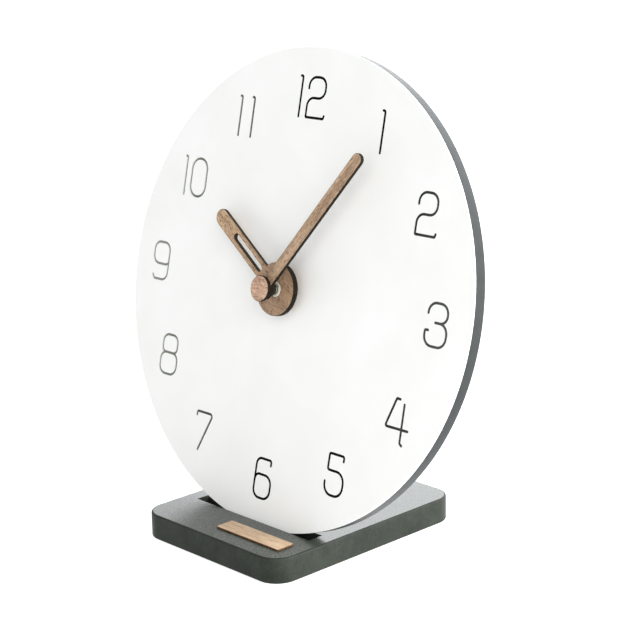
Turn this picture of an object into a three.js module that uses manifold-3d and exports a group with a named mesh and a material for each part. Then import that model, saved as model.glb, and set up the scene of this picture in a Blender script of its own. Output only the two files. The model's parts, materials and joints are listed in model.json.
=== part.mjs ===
// Table clock: a round white dial on a dark board, which leans back in a slot of a small base.
// A single-cell quartz movement hangs behind the dial and turns two wooden hands.
// Millimetres, +Z up. The dial looks towards -Y and its three o'clock side is +X.
// The origin is on the surface under the clock, at the middle of the whole width and depth.

import * as THREE from 'three';
import { mergeVertices } from 'three/addons/utils/BufferGeometryUtils.js';
import Module from 'manifold-3d';

const wasm = await Module();
wasm.setup();

const degrees = THREE.MathUtils.degToRad;
const fullTurn = degrees(360);
const halfTurn = degrees(180);
const quarterTurn = degrees(90);

// Clearances that all pieces share
const seatGap = 0.25;
const glueFilm = 0.1;
const pivotPlay = 0.12;
const wheelPlay = 0.35;
const cutOverrun = 5;

// How finely round things are drawn
const dialRounds = 50;
const middleRounds = 14;
const smallRounds = 9;
const pivotRounds = 5;
const postRounds = 4;

// Dial
const dialRadius = 100;
const faceThickness = 0.6;
const boardThickness = 6;
const boardEase = 0.4;
const dialLean = degrees(12.6);
const rimInSlot = 2.2;
const tongueWidth = 42;

// Base
const baseWidth = 84.6;
const baseDepth = 105.6;
const baseHeight = 11;
const baseCornerRadius = 10;
const baseEase = 0.8;
const baseShift = -3.2;
const slotLength = 70;
const slotDepth = 7;
const slotPlay = 0.3;
const faceBehindFrontEdge = 25.2;

// Bare plate on the base
const plaqueWidth = 38;
const plaqueDepth = 9.1;
const plaqueThickness = 0.6;
const plaqueCornerRadius = 1.5;
const plaqueFromRight = 7.8;
const plaqueFromFront = 8.3;

// Hands
const handThickness = 2;
const handEase = 0.2;
const minuteHandAngle = degrees(36.5);
const hoursShown = 10;
const hourPitch = degrees(30);
const minuteHandLength = 73.8;
const minuteHandTipWidth = 5.2;
const minuteHandRootWidth = 5;
const minuteEyeRadius = 4.6;
const minuteHandStandoff = 12.5;
const hourHandLength = 48.8;
const hourHandWidth = 7.2;
const hourHubRadius = 11;
const hourHubThickness = 2.5;
const hourHandStandoff = 5.8;
const hourWindowWidth = 2.9;
const hourWindowInner = 11.6;
const hourWindowOuter = 34;
const capRadius = 5.3;
const capThickness = 1.5;
const capEase = 0.3;

// Collets that grip the tubes
const hourColletRadius = 3.2;
const hourColletFlangeRadius = 4.6;
const hourColletFlange = 0.6;
const minuteColletRadius = 2.3;
const minuteColletFlangeRadius = 2.9;
const minuteColletFlange = 2.8;

// Bush, nut and washers that clamp the movement
const bushRadius = 4;
const bushStandout = 4;
const bushFlangeRadius = 6;
const bushFlange = 0.8;
const clampHolePlay = 0.4;
const washerRadius = 5.6;
const washerThickness = 0.6;
const nutAcrossFlats = 10;
const nutSides = 6;
const nutThickness = 2.2;
const gasketSize = 32;
const gasketThickness = 0.6;
const gasketCornerRadius = 4;

// Concentric arbors
const hourTubeRadius = 2.5;
const minuteTubeRadius = 1.7;
const secondsArborRadius = 0.6;
const tubePlay = 0.15;

// Cell and its contacts
const cellRadius = 7.1;
const cellLength = 50;
const cellEndRoom = 1.5;
const cellNubRadius = 2.7;
const cellNubLength = 1.1;
const cellEase = 0.6;
const cellSideRoom = 0.9;
const contactThickness = 0.4;
const contactWidth = 6;
const contactReach = 5;
const contactBulge = 1;
const contactTail = 4;
const contactPlay = 0.15;
const saddleWidth = 1.2;
const saddleFromCentre = 13;
const saddleDepth = 6;
const fingerNotchRadius = 9;
const fingerNotchDepth = 9;

// Movement case, which is as wide inside as the cell and its contacts
const caseDepth = 15;
const caseWall = 1.5;
const roomHalf = cellLength / 2 + cellEndRoom;
const caseHalf = roomHalf + caseWall;
const cellBelowCentre = roomHalf - cellRadius - cellSideRoom;
const caseCornerRadius = 3;
const coverThickness = 1.5;
const coverRecess = 0.3;
const partitionWall = 1.2;
const bayTop = cellRadius + cellSideRoom - cellBelowCentre;
const partitionBelowCentre = -bayTop - partitionWall;
const cornerPostSize = 4;
const pillarRadius = 1.6;
const pillarFromSide = 5;
const pillarRise = 13;
const pillarDrop = 6.6;
const platePegRadius = 0.7;
const ventRibWidth = 1;
const ventRibHeight = 0.5;
const ventRibLength = 16;
const ventRibPitch = 2.6;
const ventRibCount = 6;
const knobCollarWidth = 1;
const knobCollarHeight = 0.6;

// Plate between the two halves of the train
const midPlateThickness = 1.2;
const midPlateTop = 15.4;

// Wheels
const wheelThickness = 0.9;
const arborRadius = 0.5;
const pivotDepth = 0.8;
const arborLip = 0.4;
const arborLipRadius = 2.1;
const motionModule = 0.4;
const rotorModule = 0.32;
const secondsModule = 0.34;
const centreModule = 0.26;

// Tooth counts
const cannonTeeth = 12;
const reductionTeeth = 36;
const reductionPinionTeeth = 10;
const hourTeeth = 40;
const knobTeeth = 12;
const rotorTeeth = 8;
const intermediateTeeth = 40;
const intermediatePinionTeeth = 8;
const secondsTeeth = 48;
const secondsPinionTeeth = 8;
const thirdTeeth = 60;
const thirdPinionTeeth = 8;
const centreTeeth = 64;

// Tooth form, as shares of the module and of the tooth pitch
const wheelAddendumShare = 0.85;
const pinionAddendumShare = 0.65;
const dedendumShare = 1.2;
const rootHalfShare = 0.28;
const tipHalfShare = 0.12;

// Bearings of the axes, seen from the front, from the three o'clock side round to the left
const reductionBearing = degrees(110);
const knobBearing = degrees(100);
const thirdBearing = degrees(140);
const intermediateBearing = degrees(30);
const rotorBearing = degrees(60);

// Setting knob
const knobHeadRadius = 6;
const knobHeadThickness = 2.6;
const knobShaftRadius = 1.5;
const knobFlutes = 24;
const knobFluteDepth = 0.45;

// Stepping motor
const magnetRadius = 3;
const magnetThickness = 3;
const magnetFront = 7.2;
const statorThickness = 1;
const statorFront = 8.3;
const statorHoleRadius = 3.6;
const statorBarHalfHeight = 4.2;
const statorLegWidth = 3.4;
const statorLeft = 2.4;
const statorFromWall = 4.5;
const coilFromWall = 6.1;
const coreThickness = 1;
const coreWidth = 2.4;
const bobbinFlangeRadius = 2.9;
const bobbinFlange = 0.7;
const bobbinCoreRadius = 1.8;
const windingRadius = 2.6;

// Timing circuit
const circuitWidth = 11.6;
const circuitHeight = 9.4;
const circuitThickness = 0.8;
const circuitFromWall = 4.5;
const circuitBelowWall = 1.1;
const circuitFront = 7;
const circuitPegInset = 1.8;
const circuitPostRadius = 1.2;
const crystalRadius = 1;
const crystalLength = 6;
const chipWidth = 3.6;
const chipThickness = 1.2;

// Where things lie, worked out from the sizes above
const leanSine = Math.sin(dialLean);
const leanCosine = Math.cos(dialLean);
const dialCentreAboveBase = dialRadius - rimInSlot;
const faceLineY = faceBehindFrontEdge - baseDepth / 2;
const dialCentreY = faceLineY + dialCentreAboveBase * leanSine;
const dialCentreZ = baseHeight + dialCentreAboveBase * leanCosine;
const boardFront = -faceThickness - glueFilm;
const boardBack = boardFront - boardThickness;
const gasketFront = boardBack - seatGap;
const gasketBack = gasketFront - gasketThickness;
const caseFront = gasketBack - seatGap;
const clampHoleRadius = bushRadius + clampHolePlay;
const bushBoreRadius = hourTubeRadius + tubePlay;
const hourBoreRadius = minuteTubeRadius + tubePlay + pivotPlay;
const minuteBoreRadius = secondsArborRadius + tubePlay;
const hourHandAngle = (hoursShown + minuteHandAngle / fullTurn) * hourPitch;

// Layers of the movement, as depths behind the front of its case
const bushFlangeBack = caseWall + seatGap + bushFlange;
const hourWheelFront = bushFlangeBack + wheelPlay;
const hourWheelBack = hourWheelFront + wheelThickness;
const reductionFront = hourWheelBack + wheelPlay;
const reductionBack = reductionFront + wheelThickness;
const midPlateFront = reductionBack + wheelPlay;
const midPlateBack = midPlateFront + midPlateThickness;
const centreWheelFront = midPlateBack + wheelPlay;
const centreWheelBack = centreWheelFront + wheelThickness;
const arborLipFront = centreWheelBack + seatGap;
const arborLipBack = arborLipFront + arborLip;
const thirdWheelFront = arborLipBack + wheelPlay;
const thirdWheelBack = thirdWheelFront + wheelThickness;
const secondsWheelFront = thirdWheelBack + wheelPlay;
const secondsWheelBack = secondsWheelFront + wheelThickness;
const intermediateFront = secondsWheelBack + wheelPlay;
const intermediateBack = intermediateFront + wheelThickness;
const coverBack = caseDepth - coverRecess;
const coverFront = coverBack - coverThickness;

// Fronts of the tubes, as heights over the dial face
const hourTubeEnd = hourHandStandoff + handThickness;
const hourHubBack = hourTubeEnd - hourHubThickness;
const minuteTubeEnd = minuteHandStandoff + handThickness;
const secondsArborEnd = minuteTubeEnd - seatGap;
const capStandoff = minuteTubeEnd + seatGap * 2;
const faceFromCase = -caseFront;

// Axes of the train, from the modules
const motionCentres = motionModule * (cannonTeeth + reductionTeeth) / 2;
const hourModule = 2 * motionCentres / (reductionPinionTeeth + hourTeeth);
const knobCentres = motionModule * (knobTeeth + reductionTeeth) / 2;
const rotorCentres = rotorModule * (rotorTeeth + intermediateTeeth) / 2;
const secondsCentres = secondsModule * (intermediatePinionTeeth + secondsTeeth) / 2;
const thirdCentres = centreModule * (thirdPinionTeeth + centreTeeth) / 2;
const thirdModule = 2 * thirdCentres / (secondsPinionTeeth + thirdTeeth);

const centreAxis = new THREE.Vector2(0, 0);
const reductionAxis = stepFrom(centreAxis, reductionBearing, motionCentres);
const knobAxis = stepFrom(reductionAxis, knobBearing, knobCentres);
const thirdAxis = stepFrom(centreAxis, thirdBearing, thirdCentres);
const intermediateAxis = stepFrom(centreAxis, intermediateBearing, secondsCentres);
const rotorAxis = stepFrom(intermediateAxis, rotorBearing, rotorCentres);

// The point at a distance from another, along a bearing
function stepFrom(start, bearing, distance) {
  return new THREE.Vector2(Math.cos(bearing), Math.sin(bearing)).multiplyScalar(distance).add(start);
}

// A closed geometry as a solid that can be joined and cut
function toSolid(geometry) {
  const bare = geometry.clone();
  bare.deleteAttribute('normal');
  bare.deleteAttribute('uv');
  const merged = mergeVertices(bare);
  const corners = [];
  for (let first = 0; first < merged.index.count; first += 3) {
    const [a, b, c] = merged.index.array.slice(first, first + 3);
    const isFlat = a === b || b === c || c === a;
    if (!isFlat) corners.push(a, b, c);
  }
  const vertProperties = Float32Array.from(merged.attributes.position.array);
  const triVerts = Uint32Array.from(corners);
  return new wasm.Manifold(new wasm.Mesh({ numProp: 3, vertProperties, triVerts }));
}

// A solid back as a geometry
function toGeometry(solid) {
  const mesh = solid.getMesh();
  const geometry = new THREE.BufferGeometry();
  geometry.setAttribute('position', new THREE.BufferAttribute(mesh.vertProperties, 3));
  geometry.setIndex(new THREE.BufferAttribute(mesh.triVerts, 1));
  geometry.computeVertexNormals();
  return geometry;
}

function join(...geometries) {
  const solids = geometries.map(toSolid);
  return toGeometry(solids.reduce((whole, next) => whole.add(next)));
}

function cut(geometry, ...tools) {
  const solids = tools.map(toSolid);
  return toGeometry(solids.reduce((whole, next) => whole.subtract(next), toSolid(geometry)));
}

// Outlines
function discShape(radius, centre = centreAxis) {
  const shape = new THREE.Shape();
  shape.absarc(centre.x, centre.y, radius, 0, fullTurn, false);
  return shape;
}

function holePath(radius, centre = centreAxis) {
  const path = new THREE.Path();
  path.absarc(centre.x, centre.y, radius, 0, fullTurn, true);
  return path;
}

function rectangleShape(left, bottom, right, top, radius = 0) {
  const shape = new THREE.Shape();
  if (radius === 0) {
    shape.moveTo(left, bottom);
    shape.lineTo(right, bottom);
    shape.lineTo(right, top);
    shape.lineTo(left, top);
    return shape;
  }
  shape.absarc(right - radius, bottom + radius, radius, -quarterTurn, 0, false);
  shape.absarc(right - radius, top - radius, radius, 0, quarterTurn, false);
  shape.absarc(left + radius, top - radius, radius, quarterTurn, halfTurn, false);
  shape.absarc(left + radius, bottom + radius, radius, halfTurn, halfTurn + quarterTurn, false);
  return shape;
}

// A round-ended bar that stands on the origin's vertical line
function barShape(width, low, high) {
  const shape = new THREE.Shape();
  shape.absarc(0, low, width / 2, halfTurn, fullTurn, false);
  shape.absarc(0, high, width / 2, 0, halfTurn, false);
  return shape;
}

// Teeth with straight flanks, drawn narrower at the tip. The first tooth points along the phase.
function gearShape(teeth, module, addendumShare, phase) {
  const pitchRadius = module * teeth / 2;
  const rootRadius = pitchRadius - dedendumShare * module;
  const tipRadius = pitchRadius + addendumShare * module;
  const pitch = fullTurn / teeth;
  const corners = [
    [rootRadius, -rootHalfShare],
    [tipRadius, -tipHalfShare],
    [tipRadius, tipHalfShare],
    [rootRadius, rootHalfShare],
  ];
  const points = [];
  for (let tooth = 0; tooth < teeth; tooth += 1) {
    for (const [radius, share] of corners) {
      points.push(stepFrom(centreAxis, phase + (tooth + share) * pitch, radius));
    }
  }
  return new THREE.Shape(points);
}

// The phase that sets a gear in mesh with a driver whose phase is known
function meshPhase(driverTeeth, driverPhase, teeth, bearing) {
  const offset = driverPhase - bearing;
  return bearing + halfTurn + halfTurn / teeth - offset * driverTeeth / teeth;
}

// Slabs and revolved bodies. Heights run along the outline's normal.
function slab(shape, low, high, rounds = middleRounds) {
  const settings = { depth: high - low, bevelEnabled: false, curveSegments: rounds };
  return new THREE.ExtrudeGeometry(shape, settings).translate(0, 0, low);
}

function easedSlab(shape, low, high, ease, rounds = middleRounds) {
  const settings = {
    depth: high - low - ease * 2,
    bevelThickness: ease,
    bevelSize: ease,
    bevelOffset: -ease,
    bevelSegments: 1,
    curveSegments: rounds,
  };
  return new THREE.ExtrudeGeometry(shape, settings).translate(0, 0, low + ease);
}

// The profile lists radius and height, outside upwards
function revolve(profile, rounds) {
  const points = profile.map(([radius, height]) => new THREE.Vector2(radius, height));
  return new THREE.LatheGeometry(points, rounds * 2).rotateX(quarterTurn);
}

function rod(radius, low, high, rounds = smallRounds) {
  return revolve([[0, low], [radius, low], [radius, high], [0, high]], rounds);
}

function tube(radius, bore, low, high, rounds = smallRounds) {
  return revolve([[bore, low], [radius, low], [radius, high], [bore, high], [bore, low]], rounds);
}

// The same, for depths behind the front of the movement's case
function layer(shape, front, back, rounds = middleRounds) {
  return slab(shape, -back, -front, rounds);
}

function arbor(radius, front, back, rounds = pivotRounds) {
  return rod(radius, -back, -front, rounds);
}

function pivotHole(centre, radius, front, back, rounds = pivotRounds) {
  return arbor(radius, front, back, rounds).translate(centre.x, centre.y, 0);
}

// A strip of sheet bent along a path of points in its own plane, as an outline
function stripShape(path, thickness) {
  const sides = [[], []];
  path.forEach((point, index) => {
    const before = path[Math.max(index - 1, 0)];
    const after = path[Math.min(index + 1, path.length - 1)];
    const normal = after.clone().sub(before).normalize().rotateAround(centreAxis, quarterTurn);
    sides[0].push(point.clone().addScaledVector(normal, thickness / 2));
    sides[1].unshift(point.clone().addScaledVector(normal, -thickness / 2));
  });
  return new THREE.Shape([...sides[1], ...sides[0]]);
}

// One named mesh with a finish of its own
function piece(name, geometry, colour, roughness, metalness = 0) {
  const material = new THREE.MeshStandardMaterial({ color: colour, roughness, metalness });
  const mesh = new THREE.Mesh(geometry, material);
  mesh.name = name;
  return mesh;
}

function placed(mesh, axis, height = 0) {
  mesh.position.set(axis.x, axis.y, height);
  return mesh;
}

// Base board, with the slanted slot for the dial
function basePlate() {
  const halfWidth = baseWidth / 2;
  const halfDepth = baseDepth / 2;
  const outline = rectangleShape(-halfWidth, -halfDepth, halfWidth, halfDepth, baseCornerRadius);
  const board = easedSlab(outline, 0, baseHeight, baseEase, smallRounds).translate(baseShift, 0, 0);
  const slotBack = boardBack - slotPlay;
  const slotOutline = rectangleShape(
    baseShift - slotLength / 2,
    -dialCentreAboveBase - slotDepth,
    baseShift + slotLength / 2,
    -dialCentreAboveBase + cutOverrun,
  );
  const slot = slab(slotOutline, slotBack, slotPlay);
  slot.rotateX(quarterTurn - dialLean).translate(0, dialCentreY, dialCentreZ);
  return piece('base_plate', cut(board, slot), 0x6f736c, 0.55);
}

function basePlaque() {
  const right = baseShift + baseWidth / 2 - plaqueFromRight;
  const front = plaqueFromFront - baseDepth / 2;
  const left = right - plaqueWidth;
  const outline = rectangleShape(left, front, right, front + plaqueDepth, plaqueCornerRadius);
  const low = baseHeight + glueFilm;
  return piece('base_plaque', slab(outline, low, low + plaqueThickness, pivotRounds), 0xdcb691, 0.6);
}

// Dial board: a disc with eased edges and a tongue that goes into the slot
function dialBoard() {
  const disc = revolve([
    [0, boardBack],
    [dialRadius - boardEase, boardBack],
    [dialRadius, boardBack + boardEase],
    [dialRadius, boardFront],
    [0, boardFront],
  ], dialRounds);
  const tongueBottom = -dialCentreAboveBase - slotDepth + slotPlay;
  const tongueTop = slotDepth - dialRadius;
  const tongueOutline = rectangleShape(-tongueWidth / 2, tongueBottom, tongueWidth / 2, tongueTop);
  const tongue = slab(tongueOutline, boardBack, boardFront);
  const hole = rod(clampHoleRadius, boardBack - cutOverrun, cutOverrun);
  return piece('dial_board', cut(join(disc, tongue), hole), 0x6a6e6e, 0.6);
}

function dialFace() {
  const sheet = slab(discShape(dialRadius), -faceThickness, 0, dialRounds);
  const hole = rod(clampHoleRadius, -cutOverrun, cutOverrun);
  return piece('dial_face', cut(sheet, hole), 0xf6f5f0, 0.5);
}

// Hands are drawn pointing at twelve and then turned to the time shown
function minuteHand() {
  const tip = minuteHandLength - minuteHandTipWidth / 2;
  const outline = new THREE.Shape();
  outline.absarc(0, tip, minuteHandTipWidth / 2, 0, halfTurn, false);
  outline.lineTo(-minuteHandRootWidth / 2, 0);
  outline.lineTo(minuteHandRootWidth / 2, 0);
  const blade = easedSlab(outline, 0, handThickness, handEase, smallRounds);
  const eye = easedSlab(discShape(minuteEyeRadius), 0, handThickness, handEase);
  const hole = rod(minuteColletRadius + glueFilm, -cutOverrun, handThickness + cutOverrun);
  const body = cut(join(blade, eye), hole);
  const hand = placed(piece('minute_hand', body, 0xa8835f, 0.6), centreAxis, minuteHandStandoff);
  hand.rotation.z = -minuteHandAngle;
  return hand;
}

function hourHand() {
  const tip = hourHandLength - hourHandWidth / 2;
  const blade = easedSlab(barShape(hourHandWidth, 0, tip), 0, handThickness, handEase, smallRounds);
  const hubBack = handThickness - hourHubThickness;
  const hub = easedSlab(discShape(hourHubRadius), hubBack, handThickness, handEase);
  const windowShape = barShape(
    hourWindowWidth,
    hourWindowInner + hourWindowWidth / 2,
    hourWindowOuter - hourWindowWidth / 2,
  );
  const opening = slab(windowShape, -cutOverrun, handThickness + cutOverrun, pivotRounds);
  const hole = rod(hourColletRadius + glueFilm, -hourHubThickness, handThickness + cutOverrun);
  const body = cut(join(blade, hub), opening, hole);
  const hand = placed(piece('hour_hand', body, 0xa8835f, 0.6), centreAxis, hourHandStandoff);
  hand.rotation.z = -hourHandAngle;
  return hand;
}

function hourHandCollet() {
  const bore = hourTubeRadius + glueFilm;
  const flangeFront = hourHubBack - glueFilm;
  const profile = [
    [bore, flangeFront - hourColletFlange],
    [hourColletFlangeRadius, flangeFront - hourColletFlange],
    [hourColletFlangeRadius, flangeFront],
    [hourColletRadius, flangeFront],
    [hourColletRadius, hourTubeEnd],
    [bore, hourTubeEnd],
    [bore, flangeFront - hourColletFlange],
  ];
  return piece('hour_hand_collet', revolve(profile, smallRounds), 0xe9e6d8, 0.45);
}

function minuteHandCollet() {
  const bore = minuteTubeRadius + glueFilm;
  const flangeFront = minuteHandStandoff - glueFilm;
  const flangeBack = flangeFront - minuteColletFlange;
  const profile = [
    [bore, flangeBack],
    [minuteColletFlangeRadius, flangeBack],
    [minuteColletFlangeRadius, flangeFront],
    [minuteColletRadius, flangeFront],
    [minuteColletRadius, minuteTubeEnd + seatGap],
    [bore, minuteTubeEnd + seatGap],
    [bore, flangeBack],
  ];
  return piece('minute_hand_collet', revolve(profile, smallRounds), 0x2c2f2a, 0.5);
}

function handCap() {
  const capFront = capStandoff + capThickness;
  const cap = easedSlab(discShape(capRadius), capStandoff, capFront, capEase);
  return piece('hand_cap', cap, 0xc39b7e, 0.6);
}

// Clamp of the movement
function shaftWasher() {
  const washer = tube(washerRadius, clampHoleRadius, seatGap, seatGap + washerThickness);
  return piece('shaft_washer', washer, 0xb9a36a, 0.35, 0.9);
}

function shaftNut() {
  const low = washerThickness + seatGap * 2;
  const cornerRadius = nutAcrossFlats / 2 / Math.cos(halfTurn / nutSides);
  const corners = [];
  for (let corner = 0; corner < nutSides; corner += 1) {
    corners.push(stepFrom(centreAxis, fullTurn * corner / nutSides, cornerRadius));
  }
  const shape = new THREE.Shape(corners);
  shape.holes.push(holePath(bushRadius + pivotPlay));
  return piece('shaft_nut', slab(shape, low, low + nutThickness), 0xb9a36a, 0.35, 0.9);
}

function threadedBush() {
  const flangeFront = caseWall + seatGap;
  const profile = [
    [bushBoreRadius, -bushFlangeBack],
    [bushFlangeRadius, -bushFlangeBack],
    [bushFlangeRadius, -flangeFront],
    [bushRadius, -flangeFront],
    [bushRadius, faceFromCase + bushStandout],
    [bushBoreRadius, faceFromCase + bushStandout],
    [bushBoreRadius, -bushFlangeBack],
  ];
  return piece('threaded_bush', revolve(profile, smallRounds), 0xc2a45a, 0.3, 0.9);
}

function rubberGasket() {
  const half = gasketSize / 2;
  const shape = rectangleShape(-half, -half, half, half, gasketCornerRadius);
  shape.holes.push(holePath(clampHoleRadius));
  return piece('rubber_gasket', slab(shape, gasketBack, gasketFront, pivotRounds), 0x232323, 0.9);
}

// Movement case: an open box with a bay for the cell below the room for the train
const cellDepth = caseWall + seatGap + cellRadius;
const cornerPosts = [-1, 1].flatMap((side) => [
  new THREE.Vector2(side * (roomHalf - cornerPostSize / 2), roomHalf - cornerPostSize / 2),
  new THREE.Vector2(side * (roomHalf - cornerPostSize / 2), cornerPostSize / 2 - partitionBelowCentre),
]);
const pillars = [-1, 1].flatMap((side) => [
  new THREE.Vector2(side * (roomHalf - pillarFromSide), pillarRise),
  new THREE.Vector2(side * (roomHalf - cornerPostSize - pillarFromSide), -pillarDrop),
]);
const circuitLeft = circuitFromWall - roomHalf;
const circuitBottom = roomHalf - circuitBelowWall - circuitHeight;
const circuitPegs = [
  new THREE.Vector2(circuitLeft + circuitPegInset, circuitBottom + circuitPegInset),
  new THREE.Vector2(
    circuitLeft + circuitWidth - circuitPegInset,
    circuitBottom + circuitHeight - circuitPegInset,
  ),
];
const statorRight = roomHalf - statorFromWall;
const coilRise = roomHalf - coilFromWall;
const statorPegs = [statorLeft, statorRight - statorLegWidth].map(
  (left) => new THREE.Vector2(left + statorLegWidth / 2, rotorAxis.y + statorBarHalfHeight + pillarRadius),
);
const bobbinCentreX = (statorLeft + statorRight) / 2;
const bobbinLength = statorRight - statorLeft - (statorLegWidth + seatGap) * 2;
const coilDepth = statorFront + statorThickness + seatGap + coreThickness / 2;

// A post on the front wall, square or round, up to a depth
function squarePost(centre, size, back) {
  const half = size / 2;
  const shape = rectangleShape(centre.x - half, centre.y - half, centre.x + half, centre.y + half);
  return layer(shape, caseWall / 2, back);
}

function roundPost(centre, radius, back) {
  return pivotHole(centre, radius, caseWall / 2, back, postRounds);
}

function cellCutter(play) {
  const cutter = rod(cellRadius + play, -roomHalf, roomHalf).rotateY(quarterTurn);
  return cutter.translate(0, -cellBelowCentre, -cellDepth);
}

function movementCase() {
  const outer = layer(
    rectangleShape(-caseHalf, -caseHalf, caseHalf, caseHalf, caseCornerRadius),
    0,
    caseDepth,
    pivotRounds,
  );
  const trainRoom = layer(
    rectangleShape(-roomHalf, -partitionBelowCentre, roomHalf, roomHalf, caseCornerRadius - caseWall),
    caseWall,
    caseDepth + cutOverrun,
    postRounds,
  );
  const bayOutline = rectangleShape(-roomHalf, -roomHalf, roomHalf, bayTop);
  const bay = layer(bayOutline, caseWall, caseDepth + cutOverrun);
  const notch = rod(fingerNotchRadius, -cutOverrun, caseWall + cutOverrun).rotateX(quarterTurn);
  notch.translate(0, -roomHalf, -caseDepth - fingerNotchRadius + fingerNotchDepth);
  const shell = cut(outer, trainRoom, bay, notch);
  const saddles = [-1, 1].map((side) => layer(
    rectangleShape(
      side * saddleFromCentre - saddleWidth / 2,
      -roomHalf - caseWall / 2,
      side * saddleFromCentre + saddleWidth / 2,
      bayTop + partitionWall / 2,
    ),
    caseWall / 2,
    caseWall + saddleDepth,
  ));
  const saddledShell = cut(join(shell, ...saddles), cellCutter(seatGap));
  const posts = [
    ...cornerPosts.map((post) => squarePost(post, cornerPostSize + seatGap, coverFront - seatGap)),
    ...pillars.map((pillar) => roundPost(pillar, pillarRadius, midPlateFront - seatGap)),
    ...pillars.map((pillar) => roundPost(pillar, platePegRadius, midPlateBack + seatGap)),
    ...circuitPegs.map((peg) => roundPost(peg, circuitPostRadius, circuitFront - seatGap)),
    ...circuitPegs.map((peg) => roundPost(peg, arborRadius, circuitFront + circuitThickness + seatGap)),
    ...statorPegs.map((peg) => roundPost(peg, circuitPostRadius, statorFront - seatGap)),
    ...statorPegs.map((peg) => roundPost(peg, arborRadius, statorFront + statorThickness + seatGap)),
    ...[-1, 1].map((side) => bobbinSaddle(side)),
  ];
  const blindBack = caseWall + cutOverrun;
  const holes = [
    pivotHole(centreAxis, bushRadius + pivotPlay, -cutOverrun, blindBack, smallRounds),
    pivotHole(reductionAxis, arborRadius + pivotPlay, caseWall - pivotDepth, blindBack),
    pivotHole(knobAxis, arborRadius + pivotPlay, caseWall - pivotDepth, blindBack),
  ];
  return piece('movement_case', cut(join(saddledShell, ...posts), ...holes), 0x262729, 0.5);
}

// A rib on the front wall under each end of the bobbin
function bobbinSaddle(side) {
  const middle = bobbinCentreX + side * (bobbinLength - bobbinFlange) / 2;
  const shape = rectangleShape(
    middle - bobbinFlange / 2,
    coilRise - bobbinCoreRadius,
    middle + bobbinFlange / 2,
    coilRise + bobbinCoreRadius,
  );
  return layer(shape, caseWall / 2, coilDepth - bobbinFlangeRadius - seatGap);
}

// Cover over the train, with blind holes for the rear pivots and a collar round the knob
function movementCover() {
  const half = roomHalf - seatGap;
  const bottom = seatGap - partitionBelowCentre;
  const outline = rectangleShape(-half, bottom, half, half, caseCornerRadius - caseWall);
  const plate = layer(outline, coverFront, coverBack, pivotRounds);
  const collarRadius = knobHeadRadius + knobCollarWidth + seatGap;
  const collar = tube(
    collarRadius,
    collarRadius - knobCollarWidth,
    -coverBack - knobCollarHeight,
    -coverBack + coverThickness / 2,
  ).translate(knobAxis.x, knobAxis.y, 0);
  const ribs = [];
  for (let rib = 0; rib < ventRibCount; rib += 1) {
    const ribBottom = (rib - ventRibCount / 2) * ventRibPitch;
    const ribTop = ribBottom + ventRibWidth;
    const shape = rectangleShape(-ventRibLength / 2, ribBottom, ventRibLength / 2, ribTop);
    ribs.push(layer(shape, coverBack - coverThickness / 2, coverBack + ventRibHeight));
  }
  const holeFront = coverFront - cutOverrun;
  const blindEnd = coverFront + pivotDepth;
  const tools = [thirdAxis, intermediateAxis, rotorAxis].map(
    (axis) => pivotHole(axis, arborRadius + pivotPlay, holeFront, blindEnd),
  );
  tools.push(pivotHole(centreAxis, secondsArborRadius + pivotPlay, holeFront, blindEnd));
  tools.push(pivotHole(knobAxis, knobShaftRadius + pivotPlay, holeFront, coverBack + cutOverrun));
  return piece('movement_cover', cut(join(plate, collar, ...ribs), ...tools), 0x2b2c2e, 0.5);
}

function midPlate() {
  const half = roomHalf - seatGap;
  const postInner = roomHalf - cornerPostSize - seatGap * 2;
  const lowCorner = cornerPostSize - partitionBelowCentre + seatGap * 2;
  const outline = new THREE.Shape([
    new THREE.Vector2(-postInner, seatGap - partitionBelowCentre),
    new THREE.Vector2(postInner, seatGap - partitionBelowCentre),
    new THREE.Vector2(postInner, lowCorner),
    new THREE.Vector2(half, lowCorner),
    new THREE.Vector2(half, midPlateTop),
    new THREE.Vector2(-half, midPlateTop),
    new THREE.Vector2(-half, lowCorner),
    new THREE.Vector2(-postInner, lowCorner),
  ]);
  outline.holes.push(holePath(minuteTubeRadius + pivotPlay));
  for (const axis of [reductionAxis, thirdAxis, intermediateAxis, rotorAxis]) {
    outline.holes.push(holePath(arborRadius + pivotPlay, axis));
  }
  for (const pillar of pillars) outline.holes.push(holePath(platePegRadius + pivotPlay, pillar));
  return piece('mid_plate', layer(outline, midPlateFront, midPlateBack, pivotRounds), 0xe4e1d6, 0.5);
}

// Motion work
function hourWheel(phase) {
  const outline = gearShape(hourTeeth, hourModule, wheelAddendumShare, phase);
  const wheel = layer(outline, hourWheelFront, hourWheelBack);
  const sleeveEnd = faceFromCase + hourTubeEnd;
  const sleeve = rod(hourTubeRadius, -hourWheelBack, sleeveEnd);
  const bore = rod(hourBoreRadius, -hourWheelBack - cutOverrun, sleeveEnd + cutOverrun);
  return piece('hour_wheel', cut(join(wheel, sleeve), bore), 0xebe8dc, 0.45);
}

function minuteArbor(phase) {
  const outline = gearShape(cannonTeeth, motionModule, wheelAddendumShare, phase);
  const pinion = layer(outline, reductionFront, reductionBack);
  const tubeEnd = faceFromCase + minuteTubeEnd;
  const stem = rod(minuteTubeRadius, -arborLipBack, tubeEnd);
  const lip = rod(arborLipRadius, -arborLipBack, -arborLipFront);
  const bore = rod(minuteBoreRadius, -arborLipBack - cutOverrun, tubeEnd + cutOverrun);
  return piece('minute_arbor', cut(join(pinion, stem, lip), bore), 0xc9b06a, 0.35, 0.8);
}

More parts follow.
